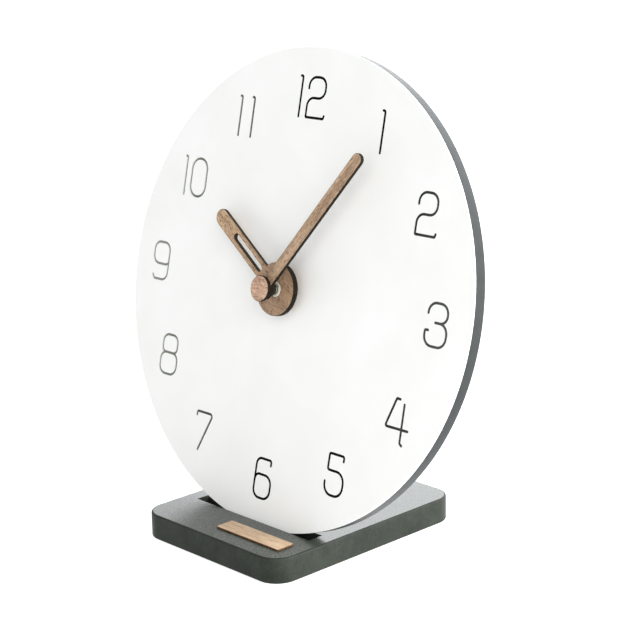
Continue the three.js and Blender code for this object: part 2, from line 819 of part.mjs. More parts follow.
function reductionWheel(phase, pinionPhase) {
  const outline = gearShape(reductionTeeth, motionModule, wheelAddendumShare, phase);
  const wheel = layer(outline, reductionFront, reductionBack);
  const pinion = layer(
    gearShape(reductionPinionTeeth, hourModule, pinionAddendumShare, pinionPhase),
    hourWheelFront,
    reductionFront + wheelThickness / 2,
  );
  const stem = arbor(arborRadius, caseWall - pivotDepth + seatGap, midPlateBack - seatGap);
  return placed(piece('reduction_wheel', join(wheel, pinion, stem), 0xe8d9a8, 0.45), reductionAxis);
}

function setKnob(phase) {
  const outline = gearShape(knobTeeth, motionModule, pinionAddendumShare, phase);
  const pinion = layer(outline, reductionFront, reductionBack);
  const headFront = coverBack + seatGap;
  const headBack = headFront + knobHeadThickness;
  const shaftFront = reductionBack - wheelThickness / 2;
  const shaft = arbor(knobShaftRadius, shaftFront, headFront + knobHeadThickness / 2, smallRounds);
  const foot = arbor(arborRadius, caseWall - pivotDepth + seatGap, reductionBack);
  const rim = [];
  for (let flute = 0; flute < knobFlutes; flute += 1) {
    const start = flute * fullTurn / knobFlutes;
    rim.push(stepFrom(centreAxis, start, knobHeadRadius));
    rim.push(stepFrom(centreAxis, start + fullTurn / knobFlutes / 2, knobHeadRadius - knobFluteDepth));
  }
  const head = layer(new THREE.Shape(rim), headFront, headBack);
  return placed(piece('set_knob', join(pinion, shaft, foot, head), 0x1f2022, 0.5), knobAxis);
}

// Going train
function centreWheel(phase) {
  const shape = gearShape(centreTeeth, centreModule, wheelAddendumShare, phase);
  shape.holes.push(holePath(minuteTubeRadius + pivotPlay));
  const wheel = layer(shape, centreWheelFront, centreWheelBack, pivotRounds);
  return piece('centre_wheel', wheel, 0xe8d9a8, 0.45);
}

function thirdWheel(phase, pinionPhase) {
  const outline = gearShape(thirdTeeth, thirdModule, wheelAddendumShare, phase);
  const wheel = layer(outline, thirdWheelFront, thirdWheelBack);
  const pinion = layer(
    gearShape(thirdPinionTeeth, centreModule, pinionAddendumShare, pinionPhase),
    centreWheelFront,
    thirdWheelFront + wheelThickness / 2,
  );
  const stem = arbor(arborRadius, midPlateFront + seatGap, coverFront + pivotDepth - seatGap);
  return placed(piece('third_wheel', join(wheel, pinion, stem), 0xece6d2, 0.45), thirdAxis);
}

function secondsWheel(phase, pinionPhase) {
  const wheel = layer(
    gearShape(secondsTeeth, secondsModule, wheelAddendumShare, phase),
    secondsWheelFront,
    secondsWheelBack,
  );
  const pinion = layer(
    gearShape(secondsPinionTeeth, thirdModule, pinionAddendumShare, pinionPhase),
    thirdWheelFront,
    secondsWheelFront + wheelThickness / 2,
  );
  const pivotEnd = seatGap - coverFront - pivotDepth;
  const stem = rod(secondsArborRadius, pivotEnd, faceFromCase + secondsArborEnd, pivotRounds);
  return piece('seconds_wheel', join(wheel, pinion, stem), 0xe7e4da, 0.45);
}

function intermediateWheel(phase, pinionPhase) {
  const wheel = layer(
    gearShape(intermediateTeeth, rotorModule, wheelAddendumShare, phase),
    intermediateFront,
    intermediateBack,
  );
  const pinion = layer(
    gearShape(intermediatePinionTeeth, secondsModule, pinionAddendumShare, pinionPhase),
    secondsWheelFront,
    intermediateFront + wheelThickness / 2,
  );
  const stem = arbor(arborRadius, midPlateFront + seatGap, coverFront + pivotDepth - seatGap);
  return placed(piece('intermediate_wheel', join(wheel, pinion, stem), 0xe7e4da, 0.45), intermediateAxis);
}

function rotorPinion(phase) {
  const pinion = layer(
    gearShape(rotorTeeth, rotorModule, pinionAddendumShare, phase),
    magnetFront + magnetThickness + seatGap,
    intermediateBack,
  );
  const stem = arbor(arborRadius, midPlateFront + seatGap, coverFront + pivotDepth - seatGap);
  return placed(piece('rotor_pinion', join(pinion, stem), 0xdedbd0, 0.45), rotorAxis);
}

function rotorMagnet() {
  const ring = tube(
    magnetRadius,
    arborRadius + glueFilm,
    -magnetFront - magnetThickness,
    -magnetFront,
    smallRounds,
  );
  return placed(piece('rotor_magnet', ring, 0x3a3b3d, 0.4, 0.6), rotorAxis);
}

// Stepping motor
function statorPlate() {
  const low = rotorAxis.y - statorBarHalfHeight;
  const high = rotorAxis.y + statorBarHalfHeight;
  const top = coilRise + coreWidth;
  const outline = new THREE.Shape([
    new THREE.Vector2(statorLeft, low),
    new THREE.Vector2(statorRight, low),
    new THREE.Vector2(statorRight, top),
    new THREE.Vector2(statorRight - statorLegWidth, top),
    new THREE.Vector2(statorRight - statorLegWidth, high),
    new THREE.Vector2(statorLeft + statorLegWidth, high),
    new THREE.Vector2(statorLeft + statorLegWidth, top),
    new THREE.Vector2(statorLeft, top),
  ]);
  outline.holes.push(holePath(statorHoleRadius, rotorAxis));
  for (const peg of statorPegs) outline.holes.push(holePath(arborRadius + pivotPlay, peg));
  const plate = layer(outline, statorFront, statorFront + statorThickness, smallRounds);
  return piece('stator_plate', plate, 0x8d9094, 0.35, 0.9);
}

function coilCore() {
  const shape = rectangleShape(
    statorLeft,
    coilRise - coreWidth / 2,
    statorRight,
    coilRise + coreWidth / 2,
  );
  const front = coilDepth - coreThickness / 2;
  return piece('coil_core', layer(shape, front, front + coreThickness), 0x8d9094, 0.35, 0.9);
}

function coilBobbin() {
  const half = bobbinLength / 2;
  const profile = [
    [0, -half],
    [bobbinFlangeRadius, -half],
    [bobbinFlangeRadius, bobbinFlange - half],
    [bobbinCoreRadius, bobbinFlange - half],
    [bobbinCoreRadius, half - bobbinFlange],
    [bobbinFlangeRadius, half - bobbinFlange],
    [bobbinFlangeRadius, half],
    [0, half],
  ];
  const spool = revolve(profile, smallRounds).rotateY(quarterTurn);
  const passageHeight = coreWidth + seatGap * 2;
  const passageDepth = coreThickness + seatGap * 2;
  const passage = new THREE.BoxGeometry(bobbinLength * 2, passageHeight, passageDepth);
  const bobbin = piece('coil_bobbin', cut(spool, passage), 0xd8d4c6, 0.5);
  bobbin.position.set(bobbinCentreX, coilRise, -coilDepth);
  return bobbin;
}

function coilWinding() {
  const half = bobbinLength / 2 - bobbinFlange - seatGap;
  const winding = tube(windingRadius, bobbinCoreRadius + glueFilm, -half, half, smallRounds);
  const coil = piece('coil_winding', winding.rotateY(quarterTurn), 0xa1562b, 0.4, 0.5);
  coil.position.set(bobbinCentreX, coilRise, -coilDepth);
  return coil;
}

// Timing circuit
function circuitBoard() {
  const outline = rectangleShape(
    circuitLeft,
    circuitBottom,
    circuitLeft + circuitWidth,
    circuitBottom + circuitHeight,
  );
  for (const peg of circuitPegs) outline.holes.push(holePath(arborRadius + pivotPlay, peg));
  const board = layer(outline, circuitFront, circuitFront + circuitThickness, pivotRounds);
  return piece('circuit_board', board, 0x3f6b45, 0.5);
}

function crystalCan() {
  const can = rod(crystalRadius, -crystalLength / 2, crystalLength / 2).rotateY(quarterTurn);
  const crystal = piece('crystal_can', can, 0xb7bbc0, 0.3, 0.9);
  const clearOfBoard = circuitFront + circuitThickness + seatGap + crystalRadius;
  const middleX = circuitLeft + circuitPegInset + crystalLength / 2;
  crystal.position.set(middleX, circuitBottom + circuitHeight - circuitPegInset, -clearOfBoard);
  return crystal;
}

function controlChip() {
  const block = new THREE.BoxGeometry(chipWidth, chipWidth, chipThickness);
  const chip = piece('control_chip', block, 0x17181a, 0.4);
  const clearOfBoard = circuitFront + circuitThickness + glueFilm + chipThickness / 2;
  const middleX = circuitLeft + circuitWidth / 2 + circuitPegInset;
  chip.position.set(middleX, circuitBottom + circuitPegInset + chipWidth / 2, -clearOfBoard);
  return chip;
}

// Cell and contacts. The cell lies along X with its raised end on the right.
const cellRightEnd = roomHalf - contactPlay - contactThickness - seatGap;
const cellLeftEnd = cellRightEnd - cellLength;

function batteryCell() {
  const bodyRight = cellRightEnd - cellNubLength;
  const profile = [
    [0, cellLeftEnd],
    [cellRadius - cellEase, cellLeftEnd],
    [cellRadius, cellLeftEnd + cellEase],
    [cellRadius, bodyRight - cellEase],
    [cellRadius - cellEase, bodyRight],
    [cellNubRadius, bodyRight],
    [cellNubRadius, cellRightEnd],
    [0, cellRightEnd],
  ];
  const can = revolve(profile, smallRounds).rotateY(quarterTurn);
  const cell = piece('battery_cell', can, 0x4d5557, 0.35, 0.4);
  cell.position.set(0, -cellBelowCentre, -cellDepth);
  return cell;
}

function contactStrip(name, path) {
  const strip = slab(stripShape(path, contactThickness), -contactWidth / 2, contactWidth / 2);
  const contact = piece(name, strip, 0xc9ccd0, 0.25, 0.9);
  contact.position.set(0, -cellBelowCentre, -cellDepth);
  return contact;
}

function positiveContact() {
  const middle = roomHalf - contactPlay - contactThickness / 2;
  const path = [
    new THREE.Vector2(middle, -contactReach),
    new THREE.Vector2(middle, contactReach),
  ];
  return contactStrip('positive_contact', path);
}

// The strip bows towards the cell's flat end
function negativeContact() {
  const wall = contactPlay + contactThickness / 2 - roomHalf;
  const touch = cellLeftEnd - seatGap - contactThickness / 2;
  const path = [
    new THREE.Vector2(wall, -contactReach - contactTail / 2),
    new THREE.Vector2(wall, -contactReach),
    new THREE.Vector2(touch, -contactBulge),
    new THREE.Vector2(touch, contactBulge),
    new THREE.Vector2(wall, contactReach),
  ];
  return contactStrip('negative_contact', path);
}

// Phases of the toothed pieces, each set in mesh with its driver
const reductionPhase = meshPhase(cannonTeeth, 0, reductionTeeth, reductionBearing);
const knobPhase = meshPhase(reductionTeeth, reductionPhase, knobTeeth, knobBearing);
const hourPhase = meshPhase(reductionPinionTeeth, 0, hourTeeth, reductionBearing + halfTurn);
const intermediatePhase = meshPhase(rotorTeeth, 0, intermediateTeeth, rotorBearing + halfTurn);
const secondsPhase = meshPhase(intermediatePinionTeeth, 0, secondsTeeth, intermediateBearing + halfTurn);
const thirdPhase = meshPhase(secondsPinionTeeth, 0, thirdTeeth, thirdBearing);
const centrePhase = meshPhase(thirdPinionTeeth, 0, centreTeeth, thirdBearing + halfTurn);

// Assembly
const movement = new THREE.Group();
movement.add(
  threadedBush(),
  movementCase(),
  movementCover(),
  midPlate(),
  hourWheel(hourPhase),
  minuteArbor(0),
  reductionWheel(reductionPhase, 0),
  setKnob(knobPhase),
  centreWheel(centrePhase),
  thirdWheel(thirdPhase, 0),
  secondsWheel(secondsPhase, 0),
  intermediateWheel(intermediatePhase, 0),
  rotorPinion(0),
  rotorMagnet(),
  statorPlate(),
  coilCore(),
  coilBobbin(),
  coilWinding(),
  circuitBoard(),
  crystalCan(),
  controlChip(),
  batteryCell(),
  positiveContact(),
  negativeContact(),
);
movement.position.z = caseFront;

const dial = new THREE.Group();
dial.add(
  dialBoard(),
  dialFace(),
  rubberGasket(),
  shaftWasher(),
  shaftNut(),
  hourHand(),
  hourHandCollet(),
  minuteHand(),
  minuteHandCollet(),
  handCap(),
  movement,
);
dial.position.set(0, dialCentreY, dialCentreZ);
dial.rotation.x = quarterTurn - dialLean;

const clock = new THREE.Group();
clock.add(basePlate(), basePlaque(), dial);

export default clock;
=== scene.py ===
"""Looks of a table clock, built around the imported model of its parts.

A round white dial with engraved numerals sits on a dark board, which leans back in a slot of a
small base board. Two wooden hands turn in front of it, and a plastic movement hangs behind it.
Sizes are in millimetres, and a placement turns them into metres in the frame of the clock.
"""

import json
import logging
import math
from dataclasses import dataclass, field
from enum import Enum

import bpy
from mathutils import Matrix, Vector
from mathutils.geometry import tessellate_polygon

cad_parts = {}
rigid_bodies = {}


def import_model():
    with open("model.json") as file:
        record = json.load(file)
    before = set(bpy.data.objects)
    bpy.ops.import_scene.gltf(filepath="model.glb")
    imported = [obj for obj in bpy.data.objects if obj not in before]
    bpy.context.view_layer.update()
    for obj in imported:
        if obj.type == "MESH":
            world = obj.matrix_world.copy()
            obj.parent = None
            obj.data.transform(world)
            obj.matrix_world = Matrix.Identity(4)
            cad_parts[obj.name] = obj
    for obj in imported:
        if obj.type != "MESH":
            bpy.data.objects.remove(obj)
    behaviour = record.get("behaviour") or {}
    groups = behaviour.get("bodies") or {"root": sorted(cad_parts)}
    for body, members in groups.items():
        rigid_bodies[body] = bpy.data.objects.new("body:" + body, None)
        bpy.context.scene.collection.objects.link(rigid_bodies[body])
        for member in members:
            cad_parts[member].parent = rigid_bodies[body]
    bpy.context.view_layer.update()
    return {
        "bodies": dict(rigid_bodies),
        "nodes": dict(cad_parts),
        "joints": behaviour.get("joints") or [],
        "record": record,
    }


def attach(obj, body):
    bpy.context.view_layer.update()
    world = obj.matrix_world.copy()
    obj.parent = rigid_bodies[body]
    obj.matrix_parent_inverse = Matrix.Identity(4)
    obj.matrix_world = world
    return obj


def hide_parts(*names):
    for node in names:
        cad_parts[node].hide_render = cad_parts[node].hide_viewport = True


LOG = logging.getLogger("table_clock")
MM = 0.001
QUARTER = math.pi / 2
# A fold sharper than this shows as an edge
CREASE = math.radians(40)
# How closely a face looks along an axis to count as level with it
LEVEL = 0.9999
# A corner is moved in by its full share down to this opening
LEAST_OPENING = 0.25
# A profile point nearer to the axis than this lies on it
ON_AXIS = 1e-9
# Where most of a noise pattern lies
NOISE_LOW, NOISE_HIGH = 0.3, 0.7

Point = tuple[float, float]
Corner = tuple[float, float, float]
Rgba = tuple[float, float, float, float]
Sizes = dict[str, float | int]
Inputs = dict[str | int, object]
Thing = bpy.types.Object
Skin = bpy.types.Material
Socket = bpy.types.NodeSocket


class Body(Enum):
    """The moving groups of the clock."""

    STAND = "root"
    MINUTE = "minute_hand_body"
    HOUR = "hour_hand_body"
    KNOB = "set_knob_body"
    CELL = "cell_body"


class Slot(Enum):
    """The finishes that the record names."""

    BASE = "base_board"
    PLAQUE = "plaque_wood"
    BOARD = "dial_board"
    FACE = "dial_face"
    WALNUT = "walnut"
    PALE_PLASTIC = "pale_plastic"
    DARK_PLASTIC = "dark_plastic"
    BRASS = "clamp_brass"
    RUBBER = "gasket_rubber"
    CASE = "case_plastic"
    CELL = "cell_wrap"
    CONTACT = "contact_steel"


class Side(Enum):
    """Which faces of a slab a finish goes on."""

    FLAT = 0
    EDGE = 1


@dataclass(frozen=True)
class Tint:
    """A colour as it is written in sRGB, each part from 0 to 255."""

    red: float
    green: float
    blue: float

    def linear(self) -> Rgba:
        """The colour as a shader socket takes it.

        Returns:
            Its parts in linear light.
        """

        def part(value: float) -> float:
            """One part of the colour in linear light."""
            share = value / 255
            return share / 12.92 if share <= 0.04045 else ((share + 0.055) / 1.055) ** 2.4

        return part(self.red), part(self.green), part(self.blue), 1.0

    def times(self, factor: float) -> "Tint":
        """The same colour, lighter or darker."""
        return Tint(*(min(255.0, part * factor) for part in (self.red, self.green, self.blue)))


# Outlines


class Outline:
    """Closed and open lines in a plane, as lists of points."""

    @staticmethod
    def disc(radius: float, rounds: int, centre: Point = (0.0, 0.0)) -> list[Point]:
        """A circle, counter-clockwise.

        Args:
            radius: its radius.
            rounds: how many points it has.
            centre: its centre.

        Returns:
            The points.
        """
        turns = [math.tau * step / rounds for step in range(rounds)]
        return [(centre[0] + radius * math.cos(a), centre[1] + radius * math.sin(a)) for a in turns]

    @staticmethod
    def arc(centre: Point, radius: float, start: float, end: float, steps: int) -> list[Point]:
        """Part of a circle, both ends included.

        Args:
            centre: the centre of the circle.
            radius: its radius.
            start: the angle of the first point, in degrees.
            end: the angle of the last point, in degrees.
            steps: how many pieces the arc is drawn in.

        Returns:
            The points.
        """
        turns = [math.radians(start + (end - start) * step / steps) for step in range(steps + 1)]
        return [(centre[0] + radius * math.cos(a), centre[1] + radius * math.sin(a)) for a in turns]

    @staticmethod
    def rounded(corners: list[Corner], closed: bool, step: float = 12.0) -> list[Point]:
        """A line through corners, each with a radius of its own.

        Args:
            corners: place and radius of each corner.
            closed: whether the last corner joins the first.
            step: the turn between two points of a corner, in degrees.

        Returns:
            The points.
        """
        count = len(corners)
        points: list[Point] = []
        for index, (x, y, radius) in enumerate(corners):
            here = Vector((x, y))
            ends = index in (0, count - 1) and not closed
            if ends or radius <= 0:
                points.append((x, y))
                continue
            before = Vector(corners[index - 1][:2]) - here
            after = Vector(corners[(index + 1) % count][:2]) - here
            opening = before.angle(after)
            reach = radius / math.tan(opening / 2)
            reach = min(reach, before.length * 0.5, after.length * 0.5) if closed else reach
            radius = reach * math.tan(opening / 2)
            start = here + before.normalized() * reach
            end = here + after.normalized() * reach
            middle = here + (before.normalized() + after.normalized()).normalized() * (
                radius / math.sin(opening / 2)
            )
            first = (start - middle).normalized()
            turn = first.angle_signed((end - middle).normalized())
            steps = max(2, round(math.degrees(abs(turn)) / step))
            for number in range(steps + 1):
                spoke = first.copy()
                spoke.rotate(Matrix.Rotation(-turn * number / steps, 2))
                points.append(tuple(middle + spoke * radius))
        return points

    @staticmethod
    def rectangle(
        left: float, bottom: float, right: float, top: float, radius: float = 0.0, step: float = 9.0
    ) -> list[Point]:
        """A rectangle with rounded corners, counter-clockwise.

        Args:
            left: its left side.
            bottom: its lower side.
            right: its right side.
            top: its upper side.
            radius: the radius of its corners.
            step: the turn between two points of a corner, in degrees.

        Returns:
            The points.
        """
        places = ((left, bottom), (right, bottom), (right, top), (left, top))
        return Outline.rounded([(x, y, radius) for x, y in places], True, step)

    @staticmethod
    def bar(width: float, low: float, high: float, steps: int = 16) -> list[Point]:
        """A round-ended bar on the vertical line, given by the centres of its ends.

        Args:
            width: its width.
            low: the height of the lower centre.
            high: the height of the upper centre.
            steps: how many pieces each end is drawn in.

        Returns:
            The points, counter-clockwise.
        """
        lower = Outline.arc((0.0, low), width / 2, 180, 360, steps)
        return lower + Outline.arc((0.0, high), width / 2, 0, 180, steps)

    @staticmethod
    def polygon(sides: int, across_flats: float) -> list[Point]:
        """A regular polygon.

        Args:
            sides: how many sides it has.
            across_flats: the distance between two opposite sides.

        Returns:
            The points, counter-clockwise.
        """
        return Outline.disc(across_flats / 2 / math.cos(math.pi / sides), sides)


# Meshes


def show(name: str, data: bpy.types.ID | None) -> Thing:
    """Makes an object and puts it in the scene.

    Args:
        name: its name.
        data: its mesh, lamp or camera.

    Returns:
        The object.
    """
    thing = bpy.data.objects.new(name, data)
    bpy.context.scene.collection.objects.link(thing)
    return thing


@dataclass
class Draft:
    """A mesh in the making, in millimetres."""

    points: list[Corner] = field(default_factory=list)
    faces: list[tuple[int, ...]] = field(default_factory=list)
    sides: list[Side] = field(default_factory=list)
    smooth: list[bool] = field(default_factory=list)

    def _face(self, corners: tuple[int, ...], side: Side, smooth: bool) -> None:
        """Adds one face.

        Args:
            corners: the numbers of its points.
            side: the finish that it takes.
            smooth: whether it is shaded smooth.
        """
        self.faces.append(corners)
        self.sides.append(side)
        self.smooth.append(smooth)

    def _ring(self, loop: list[Point], inset: float, height: float) -> list[int]:
        """Adds a loop of points, moved into the material.

        Args:
            loop: the loop, with the material on its left.
            inset: how far it moves in.
            height: its height.

        Returns:
            The numbers of the points.
        """
        count = len(loop)
        first = len(self.points)
        for index, (x, y) in enumerate(loop):
            before, after = loop[index - 1], loop[(index + 1) % count]
            into = Vector((before[1] - y, x - before[0])).normalized()
            onward = Vector((y - after[1], after[0] - x)).normalized()
            share = inset / max(LEAST_OPENING, 1 + into.dot(onward))
            right, up = (into.x + onward.x) * share, (into.y + onward.y) * share
            self.points.append((x + right, y + up, height))
        return list(range(first, first + count))

    def slab(
        self,
        outline: list[Point],
        low: float,
        high: float,
        ease: float = 0.0,
        holes: tuple[list[Point], ...] = (),
        steps: int = 3,
        side: Side = Side.FLAT,
        under: float | None = None,
    ) -> "Draft":
        """Adds a plate with eased edges.

        Args:
            outline: its outline, counter-clockwise.
            low: the height of its underside.
            high: the height of its top.
            ease: the radius of its edges.
            holes: outlines of holes, counter-clockwise.
            steps: how many faces an edge is rounded with.
            side: the finish of its edges.
            under: the radius of its outer edge at the underside, where that differs.

        Returns:
            The draft.
        """
        quarter = [QUARTER * step / steps for step in range(steps + 1)] if ease else [QUARTER]
        caps: tuple[list[list[int]], list[list[int]]] = ([], [])
        for loop in (outline, *(list(reversed(hole)) for hole in holes)):
            lower_ease = ease if under is None or loop is not outline else under
            rows = [
                (lower_ease * (1 - math.sin(turn)), low + lower_ease * (1 - math.cos(turn)))
                for turn in quarter
            ]
            rows += [
                (ease * (1 - math.sin(turn)), high - ease * (1 - math.cos(turn)))
                for turn in reversed(quarter)
            ]
            rings = [self._ring(loop, inset, height) for inset, height in rows]
            for lower, upper in zip(rings, rings[1:]):
                for index in range(len(loop)):
                    after = (index + 1) % len(loop)
                    corners = (lower[index], lower[after], upper[after], upper[index])
                    self._face(corners, side, True)
            caps[0].append(rings[0])
            caps[1].append(rings[-1])
        for rings, upward in zip(caps, (False, True)):
            numbers = [number for ring in rings for number in ring]
            lines = [[Vector(self.points[number]) for number in ring] for ring in rings]
            for triangle in tessellate_polygon(lines):
                a, b, c = (numbers[corner] for corner in triangle)
                pa, pb, pc = (Vector(self.points[number]) for number in (a, b, c))
                faces_up = (pb - pa).cross(pc - pa).z > 0
                self._face((a, b, c) if faces_up is upward else (a, c, b), Side.FLAT, False)
        return self

    def lathe(self, profile: list[Point], rounds: int, side: Side = Side.FLAT) -> "Draft":
        """Adds a turned body round the vertical axis.

        Args:
            profile: radius and height of each point, outside upwards, closed or from axis to axis.
            rounds: how many points a circle has.
            side: the finish of its faces.

        Returns:
            The draft.
        """
        closed = profile[0] == profile[-1]
        rows = profile[:-1] if closed else profile
        rings: list[list[int]] = []
        for radius, height in rows:
            first = len(self.points)
            if radius < ON_AXIS:
                self.points.append((0.0, 0.0, height))
                rings.append([first] * rounds)
                continue
            self.points.extend((x, y, height) for x, y in Outline.disc(radius, rounds))
            rings.append(list(range(first, first + rounds)))
        pairs = list(zip(rings, rings[1:])) + ([(rings[-1], rings[0])] if closed else [])
        for lower, upper in pairs:
            for index in range(rounds):
                after = (index + 1) % rounds
                ring = (lower[index], lower[after], upper[after], upper[index])
                corners = tuple(dict.fromkeys(ring))
                if len(corners) > 2:
                    self._face(corners, side, True)
        return self

    def drum(self, radius: float, reach: float, rounds: int) -> "Draft":
        """Adds a solid drum round the vertical axis, with its middle at the origin."""
        return self.lathe([(0, -reach), (radius, -reach), (radius, reach), (0, reach)], rounds)

    def tilt(self, matrix: Matrix) -> "Draft":
        """Moves what the draft holds."""
        self.points = [tuple(matrix @ Vector(point)) for point in self.points]
        return self

    def mesh(self, name: str, place: Matrix, *skins: Skin) -> Thing:
        """Turns the draft into an object at the origin, with its place in its mesh.

        Args:
            name: the name of the object.
            place: the placement, from millimetres to the frame of the clock.
            skins: the finishes, in the order of Side.

        Returns:
            The object.
        """
        data = bpy.data.meshes.new(name)
        data.from_pydata(self.points, [], self.faces)
        for skin in skins:
            data.materials.append(skin)
        last = len(skins) - 1
        data.polygons.foreach_set("material_index", [min(side.value, last) for side in self.sides])
        data.set_sharp_from_angle(angle=CREASE)
        # The line above clears which faces are flat, so this comes after it
        data.polygons.foreach_set("use_smooth", self.smooth)
        data.transform(place)
        data.update()
        return show(name, data)


class Carver:
    """Cuts, joins and merges finished meshes."""

    @staticmethod
    def settle(thing: Thing) -> Thing:
        """Replaces an object's mesh by what its modifiers make of it, and removes them.

        Args:
            thing: the object.

        Returns:
            The object.
        """
        graph = bpy.context.evaluated_depsgraph_get()
        data = bpy.data.meshes.new_from_object(thing.evaluated_get(graph))
        data.name = thing.name
        thing.modifiers.clear()
        thing.data = data
        return thing

    @staticmethod
    def boolean(thing: Thing, tools: list[Thing], operation: str = "DIFFERENCE") -> Thing:
        """Cuts tools out of an object, or joins them to it, and removes the tools.

        Args:
            thing: the object that changes.
            tools: the tools.
            operation: DIFFERENCE or UNION.

        Returns:
            The object.
        """
        for tool in tools:
            modifier = thing.modifiers.new("carve", "BOOLEAN")
            modifier.operation = operation
            modifier.solver = "EXACT"
            modifier.use_self = True
            modifier.material_mode = "TRANSFER"
            modifier.object = tool
            Carver.settle(thing)
            bpy.data.objects.remove(tool)
        return thing

    @staticmethod
    def level(thing: Thing, place: Matrix) -> Thing:
        """Shades the faces flat that look along the vertical line of a placement.

        Args:
            thing: the object.
            place: the placement.

        Returns:
            The object.
        """
        axis = place.to_3x3().col[2].normalized()
        for face in thing.data.polygons:
            if abs(face.normal.dot(axis)) > LEVEL:
                face.use_smooth = False
        return thing

    @staticmethod
    def merge(thing: Thing, others: list[Thing]) -> Thing:
        """Puts the meshes of other objects into one object.

        Args:
            thing: the object that stays.
            others: the objects that go into it.

        Returns:
            The object.
        """
        with bpy.context.temp_override(
            active_object=thing, object=thing, selected_editable_objects=[thing, *others]
        ):
            bpy.ops.object.join()
        return thing


# Node trees


class NodeTree:
    """A node tree that is put together in code."""

    def __init__(self, tree: bpy.types.NodeTree) -> None:
        """Takes the tree over."""
        self.tree = tree

    def feed(self, socket: Socket, value: object) -> None:
        """Sets an input, or links it.

        Args:
            socket: the input.
            value: a value, a tint or an output of another node.
        """
        if isinstance(value, Socket):
            self.tree.links.new(value, socket)
        else:
            socket.default_value = value.linear() if isinstance(value, Tint) else value

    def node(self, kind: str, inputs: Inputs | None = None, **settings: object) -> bpy.types.Node:
        """Adds a node.

        Args:
            kind: its type.
            inputs: what goes into its sockets.
            settings: its own settings.

        Returns:
            The node.
        """
        made = self.tree.nodes.new(kind)
        for key, value in settings.items():
            setattr(made, key, value)
        for key, value in (inputs or {}).items():
            self.feed(made.inputs[key], value)
        return made

    def math(self, operation: str, first: object, second: object) -> Socket:
        """One sum of two values."""
        return self.node("ShaderNodeMath", {0: first, 1: second}, operation=operation).outputs[0]

    def seen(self) -> Socket:
        """One where the camera, a gloss or a glass looks, and zero for the light that falls.

        Returns:
            The socket.
        """
        path = self.node("ShaderNodeLightPath")
        share = path.outputs["Is Camera Ray"]
        for ray in ("Is Transmission Ray", "Is Glossy Ray"):
            share = self.math("MAXIMUM", share, path.outputs[ray])
        return share


class GeometryTree(NodeTree):
    """A Geometry Nodes tree with named inputs for its sizes."""

    def __init__(self, name: str, sizes: Sizes) -> None:
        """Starts the tree.

        Args:
            name: its name.
            sizes: its inputs and what they are by default.
        """
        super().__init__(bpy.data.node_groups.new(name, "GeometryNodeTree"))
        face = self.tree.interface
        for way in ("INPUT", "OUTPUT"):
            face.new_socket("Geometry", in_out=way, socket_type="NodeSocketGeometry")
        for label, value in sizes.items():
            kind = "NodeSocketInt" if isinstance(value, int) else "NodeSocketFloat"
            face.new_socket(label, in_out="INPUT", socket_type=kind).default_value = value
        self.start = self.node("NodeGroupInput")

    def size(self, label: str) -> Socket:
        """The socket of a named input."""
        return self.start.outputs[label]

    def scatter(self, points: Socket, thing: Socket, **more: object) -> Socket:
        """Puts a copy of something on every point.

        Args:
            points: the points.
            thing: what is copied.
            more: other inputs of the node.

        Returns:
            The socket of the copies.
        """
        inputs = {"Points": points, "Instance": thing, **more}
        return self.node("GeometryNodeInstanceOnPoints", inputs).outputs[0]

    def sweep(self, curve: Socket, profile: Socket) -> Socket:
        """Takes a closed profile along a curve.

        Args:
            curve: the curve.
            profile: the profile.

        Returns:
            The socket of the body.
        """
        inputs = {"Curve": curve, "Profile Curve": profile, "Fill Caps": True}
        return self.node("GeometryNodeCurveToMesh", inputs).outputs[0]

    def skin(self, geometry: Socket, skin: Skin, **more: object) -> Socket:
        """Gives geometry a finish.

        Args:
            geometry: the geometry.
            skin: its finish.
            more: other inputs of the node.

        Returns:
            The socket.
        """
        inputs = {"Geometry": geometry, "Material": skin, **more}
        return self.node("GeometryNodeSetMaterial", inputs).outputs[0]

    def end(self, geometry: Socket, skin: Skin, floor: Skin | None = None) -> None:
        """Ends the tree in plain, finished geometry.

        Args:
            geometry: what the tree makes.
            skin: its finish.
            floor: the finish of the faces that look down, where they have their own.
        """
        real = self.node("GeometryNodeRealizeInstances", {"Geometry": geometry}).outputs[0]
        done = self.skin(real, skin)
        if floor:
            normal = self.node("GeometryNodeInputNormal").outputs[0]
            up = self.node("ShaderNodeSeparateXYZ", {0: normal}).outputs[2]
            down = self.node("FunctionNodeCompare", {0: up, 1: -0.5}, operation="LESS_THAN")
            done = self.skin(done, floor, Selection=down.outputs[0])
        self.node("NodeGroupOutput", {"Geometry": done})

    def grow(self, thing: Thing, sizes: Sizes) -> Thing:
        """Runs the tree on an object and keeps the result as its plain mesh.

        Args:
            thing: the object.
            sizes: what the named inputs are.

        Returns:
            The object.
        """
        modifier = thing.modifiers.new(self.tree.name, "NODES")
        modifier.node_group = self.tree
        for item in self.tree.interface.items_tree:
            if item.in_out == "INPUT" and item.name in sizes:
                modifier[item.identifier] = sizes[item.name]
        return Carver.settle(thing)


